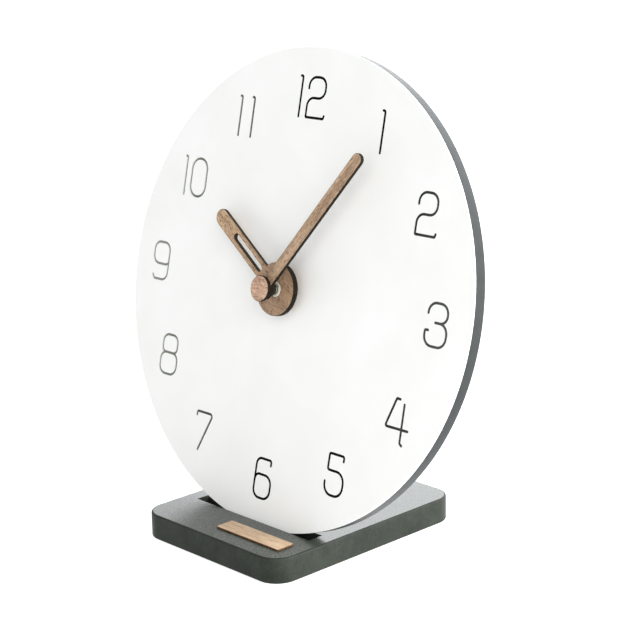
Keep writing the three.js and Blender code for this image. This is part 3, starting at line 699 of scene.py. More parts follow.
class ShaderTree(NodeTree):
    """A material with one principled shader."""

    def __init__(self, name: str, roughness: float, metallic: float = 0.0) -> None:
        """Starts the material.

        Args:
            name: its name.
            roughness: how rough the surface is.
            metallic: one for bare metal.
        """
        self.material = bpy.data.materials.new(name)
        self.material.use_nodes = True
        super().__init__(self.material.node_tree)
        self.shader = self.tree.nodes["Principled BSDF"]
        self.set("Roughness", roughness)
        self.set("Metallic", metallic)

    def set(self, socket: str, value: object) -> None:
        """Sets or links a socket of the shader."""
        self.feed(self.shader.inputs[socket], value)

    def local(self, place: Matrix, stretch: Corner = (1.0, 1.0, 1.0)) -> Socket:
        """Coordinates in millimetres in the frame of a piece.

        Args:
            place: the placement of the piece.
            stretch: how much finer the pattern is along each axis.

        Returns:
            The socket.
        """
        frame = {
            "Vector": self.node("ShaderNodeTexCoord").outputs["Object"],
            "Location": place.to_translation(),
            "Rotation": place.to_euler(),
            "Scale": (MM, MM, MM),
        }
        centred = self.node("ShaderNodeMapping", frame, vector_type="TEXTURE").outputs[0]
        inputs = {"Vector": centred, "Scale": stretch}
        return self.node("ShaderNodeMapping", inputs, vector_type="POINT").outputs[0]

    def noise(
        self, vector: Socket, scale: float, detail: float = 3.0, rough: float = 0.55
    ) -> Socket:
        """A noise pattern.

        Args:
            vector: where it is read.
            scale: how fine it is.
            detail: how many finer layers it has.
            rough: how strong these are.

        Returns:
            The socket.
        """
        inputs = {"Vector": vector, "Scale": scale, "Detail": detail, "Roughness": rough}
        return self.node("ShaderNodeTexNoise", inputs).outputs["Fac"]

    def span(self, value: Socket, low: float, high: float, start: float, end: float) -> Socket:
        """A value taken from one span to another.

        Args:
            value: the value.
            low: where the first span starts.
            high: where it ends.
            start: what its start becomes.
            end: what its end becomes.

        Returns:
            The socket.
        """
        inputs = {"Value": value, 1: low, 2: high, 3: start, 4: end}
        return self.node("ShaderNodeMapRange", inputs).outputs[0]

    def ramp(self, value: Socket, stops: list[tuple[float, Tint]]) -> Socket:
        """Colours along a value.

        Args:
            value: the value.
            stops: place and colour of each stop.

        Returns:
            The socket.
        """
        made = self.node("ShaderNodeValToRGB", {"Fac": value})
        elements = made.color_ramp.elements
        while len(elements) < len(stops):
            elements.new(0.5)
        for element, (place, tint) in zip(elements, stops):
            element.position = place
            element.color = tint.linear()
        return made.outputs["Color"]

    def mix(self, share: object, first: object, second: object) -> Socket:
        """A mix of two colours, with the share of the second."""
        inputs = {0: share, 6: first, 7: second}
        return self.node("ShaderNodeMix", inputs, data_type="RGBA").outputs[2]

    def blend(self, *parts: tuple[Socket, float]) -> Socket:
        """A weighted sum of patterns.

        Args:
            parts: each pattern and its weight.

        Returns:
            The socket.
        """
        total, *others = [self.math("MULTIPLY", pattern, weight) for pattern, weight in parts]
        for other in others:
            total = self.math("ADD", total, other)
        return total

    def stain(self, pattern: Socket, dark: Tint, pale: Tint) -> None:
        """Colours the surface between two tints along a noise pattern."""
        self.set("Base Color", self.ramp(pattern, [(NOISE_LOW, dark), (NOISE_HIGH, pale)]))

    def roughen(self, pattern: Socket, low: float, high: float) -> None:
        """Varies the roughness between two values along a noise pattern."""
        self.set("Roughness", self.span(pattern, NOISE_LOW, NOISE_HIGH, low, high))

    def bump(self, height: Socket, depth: float, strength: float = 1.0) -> None:
        """Gives the surface a fine relief.

        Args:
            height: the height of the relief, from 0 to 1.
            depth: how deep it is, in millimetres.
            strength: how much of it shows.
        """
        inputs = {"Height": height, "Distance": depth * MM, "Strength": strength}
        self.set("Normal", self.node("ShaderNodeBump", inputs).outputs[0])


# Finishes


@dataclass(frozen=True)
class PaintedBoard:
    """Stained fibreboard under a thin satin coat."""

    name: str
    dark: Tint
    pale: Tint
    roughness: float = 0.34
    gloss: float = 0.5
    streak: float = 0.22
    upright: float = 0.3
    relief: float = 0.5

    def build(self, place: Matrix) -> Skin:
        """Makes the material.

        Args:
            place: the placement of the piece.

        Returns:
            The material.
        """
        tree = ShaderTree(self.name, self.roughness)
        spot = tree.local(place, (1.0, 1.0, self.upright))
        spots = tree.noise(spot, self.streak, 5.0, 0.6)
        fibres = tree.noise(spot, self.streak * 9, 3.0, 0.6)
        pattern = tree.blend((spots, 0.6), (fibres, 0.4))
        tree.set("Base Color", tree.ramp(pattern, [(0.36, self.dark), (0.64, self.pale)]))
        tree.set("Specular IOR Level", self.gloss)
        tree.roughen(fibres, self.roughness - 0.05, self.roughness + 0.08)
        tree.bump(fibres, 0.03, self.relief)
        return tree.material


@dataclass(frozen=True)
class PaintedSheet:
    """A thin white sheet with a matt coat."""

    name: str
    tint: Tint
    shade: Tint
    roughness: float = 0.5

    def build(self, place: Matrix) -> Skin:
        """Makes the material.

        Args:
            place: the placement of the piece.

        Returns:
            The material.
        """
        tree = ShaderTree(self.name, self.roughness)
        spot = tree.local(place)
        tree.stain(tree.noise(spot, 0.03, 2.0), self.shade, self.tint)
        grit = tree.noise(spot, 2.4, 2.0)
        tree.roughen(grit, self.roughness - 0.04, self.roughness + 0.04)
        tree.bump(grit, 0.01, 0.4)
        return tree.material


@dataclass(frozen=True)
class Groove:
    """A face of the engraved lines: dark ink across the middle of the dial, paled towards its left
    and right edges by painted light, most on the left.
    """

    name: str
    ink_and_painted_light: tuple[tuple[float, Tint], ...]
    reach: float = 100.0

    def build(self, place: Matrix) -> Skin:
        """Makes the material.

        Args:
            place: the placement of the piece.

        Returns:
            The material.
        """
        tree = ShaderTree(self.name, 0.8)
        tree.set("Specular IOR Level", 0.1)
        across = tree.node("ShaderNodeSeparateXYZ", {0: tree.local(place)}).outputs[0]
        share = tree.span(across, -self.reach, self.reach, 0.0, 1.0)
        # Painted light: the dark ink pales towards the edges of the dial.
        stops = [((at + self.reach) / (2 * self.reach), tint) for at, tint in self.ink_and_painted_light]
        tree.set("Base Color", tree.ramp(share, stops))
        return tree.material


@dataclass(frozen=True)
class Wood:
    """Planed wood with its grain along the vertical line of the piece."""

    name: str
    dark: Tint
    middle: Tint
    pale: Tint
    pore: Tint
    bands: float = 0.5
    fibre: float = 2.0
    pores: float = 0.7
    turn: float = 0.0
    darker_to_hub: float = 0.0
    darker_to_hub_from: float = 6.0
    darker_to_hub_to: float = 42.0
    roughness: float = 0.55

    def build(self, place: Matrix) -> Skin:
        """Makes the material.

        Args:
            place: the placement of the piece.

        Returns:
            The material.
        """
        turned = place @ Matrix.Rotation(math.radians(self.turn), 4, "Z")
        tree = ShaderTree(self.name, self.roughness)
        wave = tree.noise(tree.local(turned, (1.0, 0.18, 1.0)), 0.35, 2.0)
        bands = tree.noise(tree.local(turned, (1.0, 0.09, 0.4)), self.bands, 3.0, 0.5)
        fibre = tree.noise(tree.local(turned, (1.0, 0.14, 0.5)), self.fibre, 4.0, 0.7)
        pattern = tree.blend((bands, 0.36), (fibre, 0.5), (wave, 0.14))
        stops = [(0.4, self.dark), (0.5, self.middle), (0.6, self.pale)]
        ground = tree.ramp(pattern, stops)
        # Darker towards the hub end of the piece, fading out along the blade.
        if self.darker_to_hub:
            along = tree.node("ShaderNodeSeparateXYZ", {0: tree.local(place)}).outputs[1]
            share = tree.span(along, self.darker_to_hub_from, self.darker_to_hub_to, self.darker_to_hub, 0.0)
            ground = tree.mix(share, ground, self.dark)
        slits = tree.noise(tree.local(turned, (1.0, 0.2, 1.0)), self.fibre * 1.3, 2.0, 0.5)
        share = tree.span(slits, 0.55, 0.64, 0.0, self.pores)
        tree.set("Base Color", tree.mix(share, ground, self.pore))
        tree.roughen(fibre, self.roughness + 0.08, self.roughness - 0.06)
        tree.bump(tree.math("SUBTRACT", fibre, share), 0.04, 0.6)
        return tree.material


@dataclass(frozen=True)
class ScorchedEdge:
    """The cut edge of a wooden piece, browned by the cut."""

    name: str
    dark: Tint
    pale: Tint

    def build(self, place: Matrix) -> Skin:
        """Makes the material.

        Args:
            place: the placement of the piece.

        Returns:
            The material.
        """
        tree = ShaderTree(self.name, 0.75)
        tree.set("Specular IOR Level", 0.15)
        lines = tree.noise(tree.local(place, (1.0, 1.0, 0.25)), 1.4, 3.0, 0.6)
        tree.set("Base Color", tree.ramp(lines, [(0.35, self.dark), (0.65, self.pale)]))
        tree.bump(lines, 0.03, 0.5)
        return tree.material


@dataclass(frozen=True)
class Plastic:
    """Moulded plastic with a fine spark-eroded grain."""

    name: str
    tint: Tint
    roughness: float = 0.42
    grain: float = 3.0
    depth: float = 0.02

    def build(self, place: Matrix) -> Skin:
        """Makes the material.

        Args:
            place: the placement of the piece.

        Returns:
            The material.
        """
        tree = ShaderTree(self.name, self.roughness)
        spot = tree.local(place)
        grit = tree.noise(spot, self.grain, 2.0)
        tree.stain(tree.noise(spot, 0.08, 2.0), self.tint.times(0.9), self.tint.times(1.08))
        tree.roughen(grit, self.roughness - 0.06, self.roughness + 0.08)
        tree.bump(grit, self.depth, 0.6)
        return tree.material


@dataclass(frozen=True)
class Metal:
    """Turned, stamped or drawn metal."""

    name: str
    tint: Tint
    roughness: float = 0.28
    grain: float = 2.5
    stretch: Corner = (1.0, 1.0, 6.0)

    def build(self, place: Matrix) -> Skin:
        """Makes the material.

        Args:
            place: the placement of the piece.

        Returns:
            The material.
        """
        tree = ShaderTree(self.name, self.roughness, 1.0)
        lines = tree.noise(tree.local(place, self.stretch), self.grain, 3.0)
        tree.stain(lines, self.tint.times(0.88), self.tint.times(1.05))
        tree.roughen(lines, self.roughness - 0.08, self.roughness + 0.1)
        tree.bump(lines, 0.01, 0.4)
        return tree.material


class Palette:
    """Every finish of the clock."""

    # One stain in lit and shaded copies: the flat faces are tinted lighter as painted light, and
    # the eased edges and the slot's inside darker as painted shade.
    base = PaintedBoard("stained_top_painted_light", Tint(58, 63, 57), Tint(75, 81, 73), 0.27, 0.56, relief=0.08)
    base_side_painted_shade = PaintedBoard(
        "stained_side_painted_shade", Tint(37, 42, 36), Tint(53, 58, 51), 0.45, 0.12, 0.14, 0.8
    )
    slot = PaintedBoard("slot_inside_painted_shade", Tint(34, 38, 33), Tint(50, 54, 47), 0.7, 0.2)
    board = PaintedBoard("stained_board", Tint(31, 35, 35), Tint(41, 45, 45), 0.38, 0.28)
    sheet = PaintedSheet("white_sheet", Tint(247, 247, 245), Tint(243, 243, 240))
    # Groove wall and floor: dark ink in the middle, with painted light that pales them towards the
    # edges of the dial, most on the left.
    groove = Groove(
        "groove_wall",
        (
            (-62.0, Tint(222, 222, 216)), (-12.0, Tint(14, 15, 14)),
            (52.0, Tint(20, 21, 20)), (84.0, Tint(112, 113, 110)),
        ),
    )
    floor = Groove(
        "groove_floor",
        (
            (-84.0, Tint(146, 149, 141)), (-68.0, Tint(124, 127, 119)), (-41.0, Tint(80, 82, 76)),
            (-12.0, Tint(4, 4, 4)), (56.0, Tint(13, 13, 13)), (84.0, Tint(84, 85, 82)),
        ),
    )
    walnut = Wood(
        "walnut_blade",
        Tint(131, 104, 79), Tint(168, 138, 110), Tint(196, 166, 137), Tint(88, 66, 47),
    )
    hub = Wood(
        "walnut_hub",
        Tint(134, 105, 79), Tint(186, 154, 121), Tint(214, 181, 147), Tint(76, 54, 38),
        pores=0.85, darker_to_hub=0.6,
    )
    cap = Wood(
        "walnut_cap",
        Tint(158, 122, 98), Tint(192, 155, 129), Tint(216, 180, 154), Tint(88, 60, 44),
        pores=0.85, turn=80.0,
    )
    edge = ScorchedEdge("scorched_edge", Tint(22, 18, 11), Tint(44, 36, 25))
    pale_edge = ScorchedEdge("browned_edge", Tint(42, 34, 22), Tint(78, 63, 44))
    plaque = Wood(
        "pale_plaque",
        Tint(196, 164, 133), Tint(216, 186, 153), Tint(230, 202, 170), Tint(168, 132, 100),
        bands=0.25, fibre=0.9, pores=0.3, turn=90.0,
    )
    plaque_edge = ScorchedEdge("plaque_edge", Tint(88, 60, 40), Tint(122, 90, 64))
    pale = Plastic("pale_collet", Tint(236, 233, 220), 0.35)
    dark = Plastic("dark_collet", Tint(26, 28, 24), 0.5)
    brass = Metal("plated_brass", Tint(214, 213, 206), 0.26)
    rubber = Plastic("black_rubber", Tint(34, 34, 35), 0.75, 1.6, 0.04)
    case = Plastic("case_plastic", Tint(36, 37, 39), 0.45)
    cover = Plastic("cover_plastic", Tint(42, 43, 45), 0.4)
    knob = Plastic("knob_plastic", Tint(30, 31, 33), 0.38)
    wrap = Plastic("cell_wrap", Tint(70, 82, 92), 0.3, 0.4, 0.003)
    steel = Metal("plated_steel", Tint(214, 216, 220), 0.22)
    wheel = Plastic("wheel_plastic", Tint(208, 202, 182), 0.35)
    plate = Plastic("plate_plastic", Tint(206, 203, 192), 0.42)
    magnet = Metal("magnet", Tint(92, 94, 98), 0.4)
    iron = Metal("motor_steel", Tint(168, 172, 178), 0.32)
    copper = Metal("copper_wire", Tint(196, 116, 66), 0.3, 6.0, (6.0, 1.0, 1.0))
    laminate = Plastic("circuit_laminate", Tint(62, 110, 70), 0.35, 1.2, 0.01)
    resin = Plastic("chip_resin", Tint(26, 27, 29), 0.3)


@dataclass(frozen=True)
class Stance:
    """How the clock stands: the sizes that place its frames."""

    base_depth: float = 105.6
    base_height: float = 11.0
    face_from_edge: float = 25.2
    dial_radius: float = 100.0
    rim_in_slot: float = 2.2
    lean: float = 12.6
    case_front: float = -7.8

    @staticmethod
    def ground() -> Matrix:
        """The frame of the base board."""
        return Matrix.Diagonal((MM, MM, MM, 1.0))

    def dial(self) -> Matrix:
        """The frame of the dial: the origin on the front of its face, +Z out of it.

        Returns:
            The placement.
        """
        rise = self.dial_radius - self.rim_in_slot
        lean = math.radians(self.lean)
        y = self.face_from_edge - self.base_depth / 2 + rise * math.sin(lean)
        z = self.base_height + rise * math.cos(lean)
        turn = Matrix.Rotation(QUARTER - lean, 4, "X")
        return self.ground() @ Matrix.Translation((0.0, y, z)) @ turn

    def movement(self) -> Matrix:
        """The frame of the movement: +Z from its case towards the dial."""
        return self.dial() @ Matrix.Translation((0.0, 0.0, self.case_front))

    def hand(self, angle: float, standoff: float) -> Matrix:
        """The frame of a hand: the hand points along +Y.

        Args:
            angle: how far it has turned from twelve, clockwise, in degrees.
            standoff: how far its back is in front of the face.

        Returns:
            The placement.
        """
        lift = Matrix.Translation((0.0, 0.0, standoff))
        return self.dial() @ lift @ Matrix.Rotation(-math.radians(angle), 4, "Z")


@dataclass
class Workshop:
    """Hands each finished piece over to the body that it moves with."""

    stance: Stance = field(default_factory=Stance)
    made: list[str] = field(default_factory=list)

    def mount(self, thing: Thing, body: Body, slot: Slot, *nodes: str) -> Thing:
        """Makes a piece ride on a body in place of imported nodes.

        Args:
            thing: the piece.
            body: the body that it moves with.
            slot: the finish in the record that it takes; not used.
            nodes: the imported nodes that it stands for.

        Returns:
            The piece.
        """
        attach(thing, body.value)
        if nodes:
            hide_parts(*nodes)
        self.made.append(thing.name)
        thing.data.calc_loop_triangles()
        LOG.info("%s: %d triangles on %s", thing.name, len(thing.data.loop_triangles), body.value)
        return thing


# Numerals


@dataclass(frozen=True)
class Stroke:
    """One line of a numeral."""

    corners: tuple[Corner, ...]
    closed: bool = False

    def points(self, at: Point) -> list[Point]:
        """The line, moved to its place on the dial.

        Args:
            at: where the origin of the digit goes.

        Returns:
            The points.
        """
        moved = [(x + at[0], y + at[1], radius) for x, y, radius in self.corners]
        return Outline.rounded(moved, self.closed)


@dataclass(frozen=True)
class Digits:
    """The ten digits, drawn as single lines."""

    zero: tuple[Stroke, ...] = (
        Stroke(((0, 0, 4.7), (9.8, 0, 4.7), (9.8, 16.5, 4.7), (0, 16.5, 4.7)), True),
    )
    one: tuple[Stroke, ...] = (Stroke(((-1.1, 16.7, 0), (0, 16.6, 0.7), (0, 0, 0))),)
    two: tuple[Stroke, ...] = (
        Stroke(
            (
                (0.05, 11.8, 0), (0.05, 16.55, 3.8), (9.8, 16.55, 3.8), (9.8, 8.05, 3.6),
                (0.05, 8.05, 3.5), (0.05, 0, 0.4), (10.25, 0, 0.4), (10.6, 1.15, 0),
            )
        ),
    )
    three: tuple[Stroke, ...] = (
        Stroke(
            (
                (0.6, 12.5, 0), (0.6, 16.75, 3.9), (10.5, 16.75, 3.9), (10.5, 9.2, 3.3),
                (4.7, 9.2, 0),
            )
        ),
        Stroke(
            ((6.6, 9.2, 0), (11, 9.2, 4.0), (11, 0, 4.0), (0, 0, 4.0), (0, 5.9, 0.6), (1.6, 5.9, 0))
        ),
    )
    four: tuple[Stroke, ...] = (
        Stroke(((6.1, 17.7, 0), (4.3, 17.8, 0.5), (0, 6.1, 0.7), (11.9, 6.1, 0))),
        Stroke(((8.6, 16.0, 0), (8.7, 0.8, 0.5), (9.8, 0, 0))),
    )
    five: tuple[Stroke, ...] = (
        Stroke(
            (
                (9.0, 14.8, 0), (9.0, 16.8, 0.8), (0.9, 16.8, 0.8), (0.8, 10, 0.9),
                (10.1, 10, 4.2), (10.1, 0, 4.2), (0, 0, 4.2), (0, 5.1, 0),
            )
        ),
    )
    six: tuple[Stroke, ...] = (
        Stroke(
            (
                (8.7, 14.5, 0), (8.7, 16.6, 0.9), (0.15, 16.6, 2.8), (0, 0, 3.6),
                (9.8, 0, 3.8), (9.8, 9.9, 3.8), (0.7, 9.9, 2.2), (0.05, 7.2, 0),
            )
        ),
    )
    seven: tuple[Stroke, ...] = (
        Stroke(((0, 14.8, 0), (0.1, 16.5, 0.6), (10.2, 16.5, 1.2), (3.0, 0, 0))),
    )
    eight: tuple[Stroke, ...] = (
        Stroke(((0.6, 9.5, 2.4), (10.3, 9.5, 2.4), (10.3, 17.4, 3.4), (0.6, 17.4, 3.4)), True),
        Stroke(((0, 0, 3.8), (11, 0, 3.8), (11, 9.5, 3.4), (0, 9.5, 3.4)), True),
    )
    nine: tuple[Stroke, ...] = (
        Stroke(((0, 6.9, 3.6), (10.3, 6.9, 2.0), (10.3, 16.5, 3.6), (0, 16.5, 3.6)), True),
        Stroke(((10.3, 10.5, 0), (10.2, 0, 3.4), (1.6, 0, 0.6), (0.7, 1.6, 0))),
    )


@dataclass
class Numerals:
    """The twelve hours, engraved through the white sheet."""

    digits: Digits = field(default_factory=Digits)
    line_width: float = 1.08
    depth: float = 0.45

    def _places(self) -> list[tuple[tuple[Stroke, ...], Point]]:
        """Lays the digits out on the dial.

        Returns:
            The strokes of each digit and its lower left corner.
        """
        d = self.digits
        return [
            (d.one, (-8.2, 71.0)), (d.two, (-4.05, 71.1)), (d.one, (40.5, 60.9)),
            (d.two, (64.8, 32.3)), (d.three, (77.0, -8.7)), (d.four, (63.7, -49.3)),
            (d.five, (35.6, -77.1)), (d.six, (-4.9, -88.1)), (d.seven, (-45.9, -76.9)),
            (d.eight, (-75.0, -48.8)), (d.nine, (-88.3, -8.4)), (d.one, (-73.9, 30.9)),
            (d.zero, (-70.0, 30.8)), (d.one, (-43.5, 59.8)), (d.one, (-35.75, 59.8)),
        ]

    def _lines(self) -> Thing:
        """The centre lines of all numerals as one mesh of edges.

        Returns:
            The object.
        """
        points: list[Corner] = []
        edges: list[tuple[int, int]] = []
        for strokes, at in self._places():
            for stroke in strokes:
                first = len(points)
                line = stroke.points(at)
                points += [(x, y, 0.0) for x, y in line]
                edges += [(first + step, first + step + 1) for step in range(len(line) - 1)]
                if stroke.closed:
                    edges.append((len(points) - 1, first))
        data = bpy.data.meshes.new("numeral_lines")
        data.from_pydata(points, edges, [])
        return show("numeral_lines", data)

    def cutter(self, place: Matrix, wall: Skin, floor: Skin) -> Thing:
        """The tool that cuts the numerals, with the finishes of the groove on it.

        Args:
            place: the placement of the dial.
            wall: the finish of the groove's sides.
            floor: the finish of its bottom.

        Returns:
            The tool.
        """
        tree = GeometryTree("engraver", {"Width": 0.8, "Depth": 0.3})
        lines = tree.node("GeometryNodeMeshToCurve", {0: tree.start.outputs["Geometry"]}).outputs[0]
        upright = tree.node("GeometryNodeSetCurveNormal", {"Curve": lines}, mode="Z_UP").outputs[0]
        width, tall = tree.size("Width"), tree.math("MULTIPLY", tree.size("Depth"), 2.0)
        pen = tree.node("GeometryNodeCurvePrimitiveQuadrilateral", {"Width": width, "Height": tall})
        nib = {"Vertices": 16, "Radius": tree.math("MULTIPLY", width, 0.5), "Depth": tall}
        tip = tree.node("GeometryNodeMeshCylinder", nib).outputs["Mesh"]
        ends = tree.node("GeometryNodeCurveEndpointSelection").outputs[0]
        both = tree.node("GeometryNodeJoinGeometry")
        for part in (tree.sweep(upright, pen.outputs[0]), tree.scatter(lines, tip, Selection=ends)):
            tree.feed(both.inputs[0], part)
        tree.end(both.outputs[0], wall, floor)
        tool = tree.grow(self._lines(), {"Width": self.line_width, "Depth": self.depth})
        tool.data.transform(place)
        return tool


# Sub-assemblies


@dataclass
class Stand:
    """The base board with its slot and its bare plate."""

    shop: Workshop
    width: float = 84.6
    corner: float = 10.0
    ease: float = 0.8
    shift: float = -3.2
    slot_length: float = 70.0
    slot_back: float = -7.0
    slot_front: float = 0.3
    slot_depth: float = 7.0
    plate_width: float = 38.0
    plate_depth: float = 9.1
    plate_low: float = 11.1
    plate_high: float = 11.7
    plate_corner: float = 1.0
    plate_ease: float = 0.2
    plate_from_right: float = 7.8
    plate_from_front: float = 8.3

    def board(self) -> None:
        """The rounded board that everything stands on."""
        stance = self.shop.stance
        ground = stance.ground()
        half = self.width / 2
        deep = stance.base_depth / 2
        left, right = self.shift - half, self.shift + half
        outline = Outline.rectangle(left, -deep, right, deep, self.corner, 4.5)
        height = stance.base_height
        draft = Draft().slab(outline, 0.0, height, self.ease, steps=4, side=Side.EDGE)
        # Lighter tints on the flat faces and darker ones on the edges: painted light and painted
        # shade on one stain.
        skins = Palette.base.build(ground), Palette.base_side_painted_shade.build(ground)
        thing = draft.mesh("base_board", ground, *skins)
        low = stance.rim_in_slot - stance.dial_radius - self.slot_depth
        reach = self.slot_length / 2
        left, right = self.shift - reach, self.shift + reach
        slot = Outline.rectangle(left, low, right, low + 2 * self.slot_depth)
        # The slot's inside takes darker tints: painted shade.
        inside = Palette.slot.build(ground)
        draft = Draft().slab(slot, self.slot_back, self.slot_front)
        tool = draft.mesh("slot", stance.dial(), inside)
        Carver.level(Carver.boolean(thing, [tool]), ground)
        self.shop.mount(thing, Body.STAND, Slot.BASE, "base_plate")

    def plate(self) -> None:
        """The bare wooden plate near the front right corner."""
        ground = self.shop.stance.ground()
        right = self.shift + self.width / 2 - self.plate_from_right
        front = self.plate_from_front - self.shop.stance.base_depth / 2
        left, back = right - self.plate_width, front + self.plate_depth
        outline = Outline.rectangle(left, front, right, back, self.plate_corner)
        draft = Draft().slab(
            outline, self.plate_low, self.plate_high, self.plate_ease, side=Side.EDGE
        )
        skins = Palette.plaque.build(ground), Palette.plaque_edge.build(ground)
        thing = draft.mesh("bare_plate", ground, *skins)
        self.shop.mount(thing, Body.STAND, Slot.PLAQUE, "base_plaque")

    def build(self) -> None:
        """Builds the whole stand."""
        self.board()
        self.plate()


@dataclass
class Dial:
    """The dark board with the engraved white sheet on its front."""

    shop: Workshop
    hole: float = 4.4
    sheet_thickness: float = 0.6
    board_front: float = -0.7
    board_back: float = -6.7
    board_ease: float = 1.2
    sheet_ease: float = 0.1
    tongue_width: float = 42.0
    tongue_bottom: float = -104.5
    tongue_top: float = -93.0
    rounds: int = 288
    ease_steps: int = 5

    def board(self) -> None:
        """The round board and the tongue that stands in the slot."""
        place = self.shop.stance.dial()
        skin = Palette.board.build(place)
        radius, ease = self.shop.stance.dial_radius, self.board_ease
        back, front = self.board_back, self.board_front
        turns = [QUARTER * step / self.ease_steps for step in range(self.ease_steps + 1)]
        profile = [(self.hole, back)]
        profile += [
            (radius - ease * (1 - math.sin(turn)), back + ease * (1 - math.cos(turn)))
            for turn in turns
        ]
        profile += [(radius, front), (self.hole, front), profile[0]]
        thing = Draft().lathe(profile, self.rounds).mesh("round_board", place, skin)
        reach = self.tongue_width / 2
        outline = Outline.rectangle(-reach, self.tongue_bottom, reach, self.tongue_top)
        tongue = Draft().slab(outline, back, front).mesh("tongue", place, skin)
        Carver.level(Carver.boolean(thing, [tongue], "UNION"), place)
        self.shop.mount(thing, Body.STAND, Slot.BOARD, "dial_board")

    def sheet(self) -> None:
        """The white sheet with its engraved numerals."""
        place = self.shop.stance.dial()
        outline = Outline.disc(self.shop.stance.dial_radius, self.rounds)
        hole = Outline.disc(self.hole, 48)
        draft = Draft().slab(outline, -self.sheet_thickness, 0.0, self.sheet_ease, (hole,), 2)
        thing = draft.mesh("white_sheet", place, Palette.sheet.build(place))
        tool = Numerals().cutter(place, Palette.groove.build(place), Palette.floor.build(place))
        Carver.level(Carver.boolean(thing, [tool]), place)
        self.shop.mount(thing, Body.STAND, Slot.FACE, "dial_face")

    def build(self) -> None:
        """Builds the whole dial."""
        self.board()
        self.sheet()


@dataclass
class Hands:
    """The two wooden hands, their collets and the cap."""

    shop: Workshop
    thickness: float = 2.0
    ease: float = 0.16
    back_ease: float = 0.8
    minute_angle: float = 36.5
    minute_length: float = 73.8
    minute_tip: float = 5.2
    minute_root: float = 5.0
    minute_eye: float = 4.6
    minute_standoff: float = 12.5
    minute_bore: float = 2.4
    hour_angle: float = 303.0417
    hour_length: float = 48.8
    hour_width: float = 7.2
    hour_hub: float = 11.0
    hub_thickness: float = 2.5
    blade_root: float = 8.0
    hour_standoff: float = 5.8
    hour_bore: float = 3.3
    window_width: float = 2.9
    window_inner: float = 11.6
    window_outer: float = 34.0
    cap_radius: float = 5.3
    cap_back: float = 15.0
    cap_front: float = 16.5
    cap_ease: float = 0.22
    hour_ring: tuple[Point, ...] = (
        (2.6, 4.6), (4.5, 4.6), (4.6, 4.7), (4.6, 5.1), (4.5, 5.2),
        (3.2, 5.2), (3.2, 7.7), (3.1, 7.8), (2.6, 7.8), (2.6, 4.6),
    )
    minute_ring: tuple[Point, ...] = (
        (1.8, 9.6), (2.8, 9.6), (2.9, 9.7), (2.9, 12.3), (2.8, 12.4),
        (2.3, 12.4), (2.3, 14.6), (2.15, 14.75), (1.8, 14.75), (1.8, 9.6),
    )

    @staticmethod
    def _blade(hub: float, root: float, tip: float, length: float) -> list[Point]:
        """The outline of a hand that points along +Y.

        Args:
            hub: the radius of its round end on the arbor.
            root: its width at the hub.
            tip: its width at the tip.
            length: how far it reaches.

        Returns:
            The points, counter-clockwise.
        """
        spread = math.degrees(math.asin(root / 2 / hub))
        end = Outline.arc((0.0, length - tip / 2), tip / 2, 0, 180, 24)
        return end + Outline.arc((0.0, 0.0), hub, 90 + spread, 450 - spread, 72)

    def minute(self) -> None:
        """The plain long hand."""
        place = self.shop.stance.hand(self.minute_angle, self.minute_standoff)
        eye, root, tip = self.minute_eye, self.minute_root, self.minute_tip
        outline = self._blade(eye, root, tip, self.minute_length)
        hole = Outline.disc(self.minute_bore, 32)
        draft = Draft().slab(
            outline, 0.0, self.thickness, self.ease, (hole,), 4, Side.EDGE, self.back_ease
        )
        skins = Palette.walnut.build(place), Palette.edge.build(place)
        thing = draft.mesh("long_hand", place, *skins)
        self.shop.mount(thing, Body.MINUTE, Slot.WALNUT, "minute_hand")

    def hour(self) -> None:
        """The short hand: a blade with a long window on a thicker hub."""
        place = self.shop.stance.hand(self.hour_angle, self.hour_standoff)
        wood = Palette.hub.build(place)
        scorched = Palette.pale_edge.build(place)
        width, high = self.hour_width, self.thickness
        outline = Outline.bar(width, self.blade_root, self.hour_length - width / 2)
        half = self.window_width / 2
        window = Outline.bar(self.window_width, self.window_inner + half, self.window_outer - half)
        draft = Draft().slab(outline, 0.0, high, self.ease, (window,), 4, Side.EDGE, self.back_ease)
        thing = draft.mesh("short_hand", place, wood, scorched)
        ring, hole = Outline.disc(self.hour_hub, 96), Outline.disc(self.hour_bore, 40)
        low = high - self.hub_thickness
        draft = Draft().slab(ring, low, high, self.ease, (hole,), 2, Side.EDGE)
        hub = draft.mesh("hub", place, wood, Palette.edge.build(place))
        Carver.level(Carver.boolean(thing, [hub], "UNION"), place)
        self.shop.mount(thing, Body.HOUR, Slot.WALNUT, "hour_hand")

    def collets(self) -> None:
        """The two turned rings that grip the tubes."""
        place = self.shop.stance.dial()
        pale = Palette.pale.build(place)
        thing = Draft().lathe(list(self.hour_ring), 64).mesh("hour_ring", place, pale)
        self.shop.mount(thing, Body.HOUR, Slot.PALE_PLASTIC, "hour_hand_collet")
        dark = Palette.dark.build(place)
        thing = Draft().lathe(list(self.minute_ring), 64).mesh("minute_ring", place, dark)
        self.shop.mount(thing, Body.MINUTE, Slot.DARK_PLASTIC, "minute_hand_collet")

    def cap(self) -> None:
        """The wooden disc over the ends of the arbors."""
        place = self.shop.stance.dial()
        outline = Outline.disc(self.cap_radius, 72)
        draft = Draft().slab(outline, self.cap_back, self.cap_front, self.cap_ease, side=Side.EDGE)
        skins = Palette.cap.build(place), Palette.edge.build(place)
        thing = draft.mesh("wooden_cap", place, *skins)
        self.shop.mount(thing, Body.MINUTE, Slot.WALNUT, "hand_cap")

    def build(self) -> None:
        """Builds both hands and what holds them."""
        self.minute()
        self.hour()
        self.collets()
        self.cap()


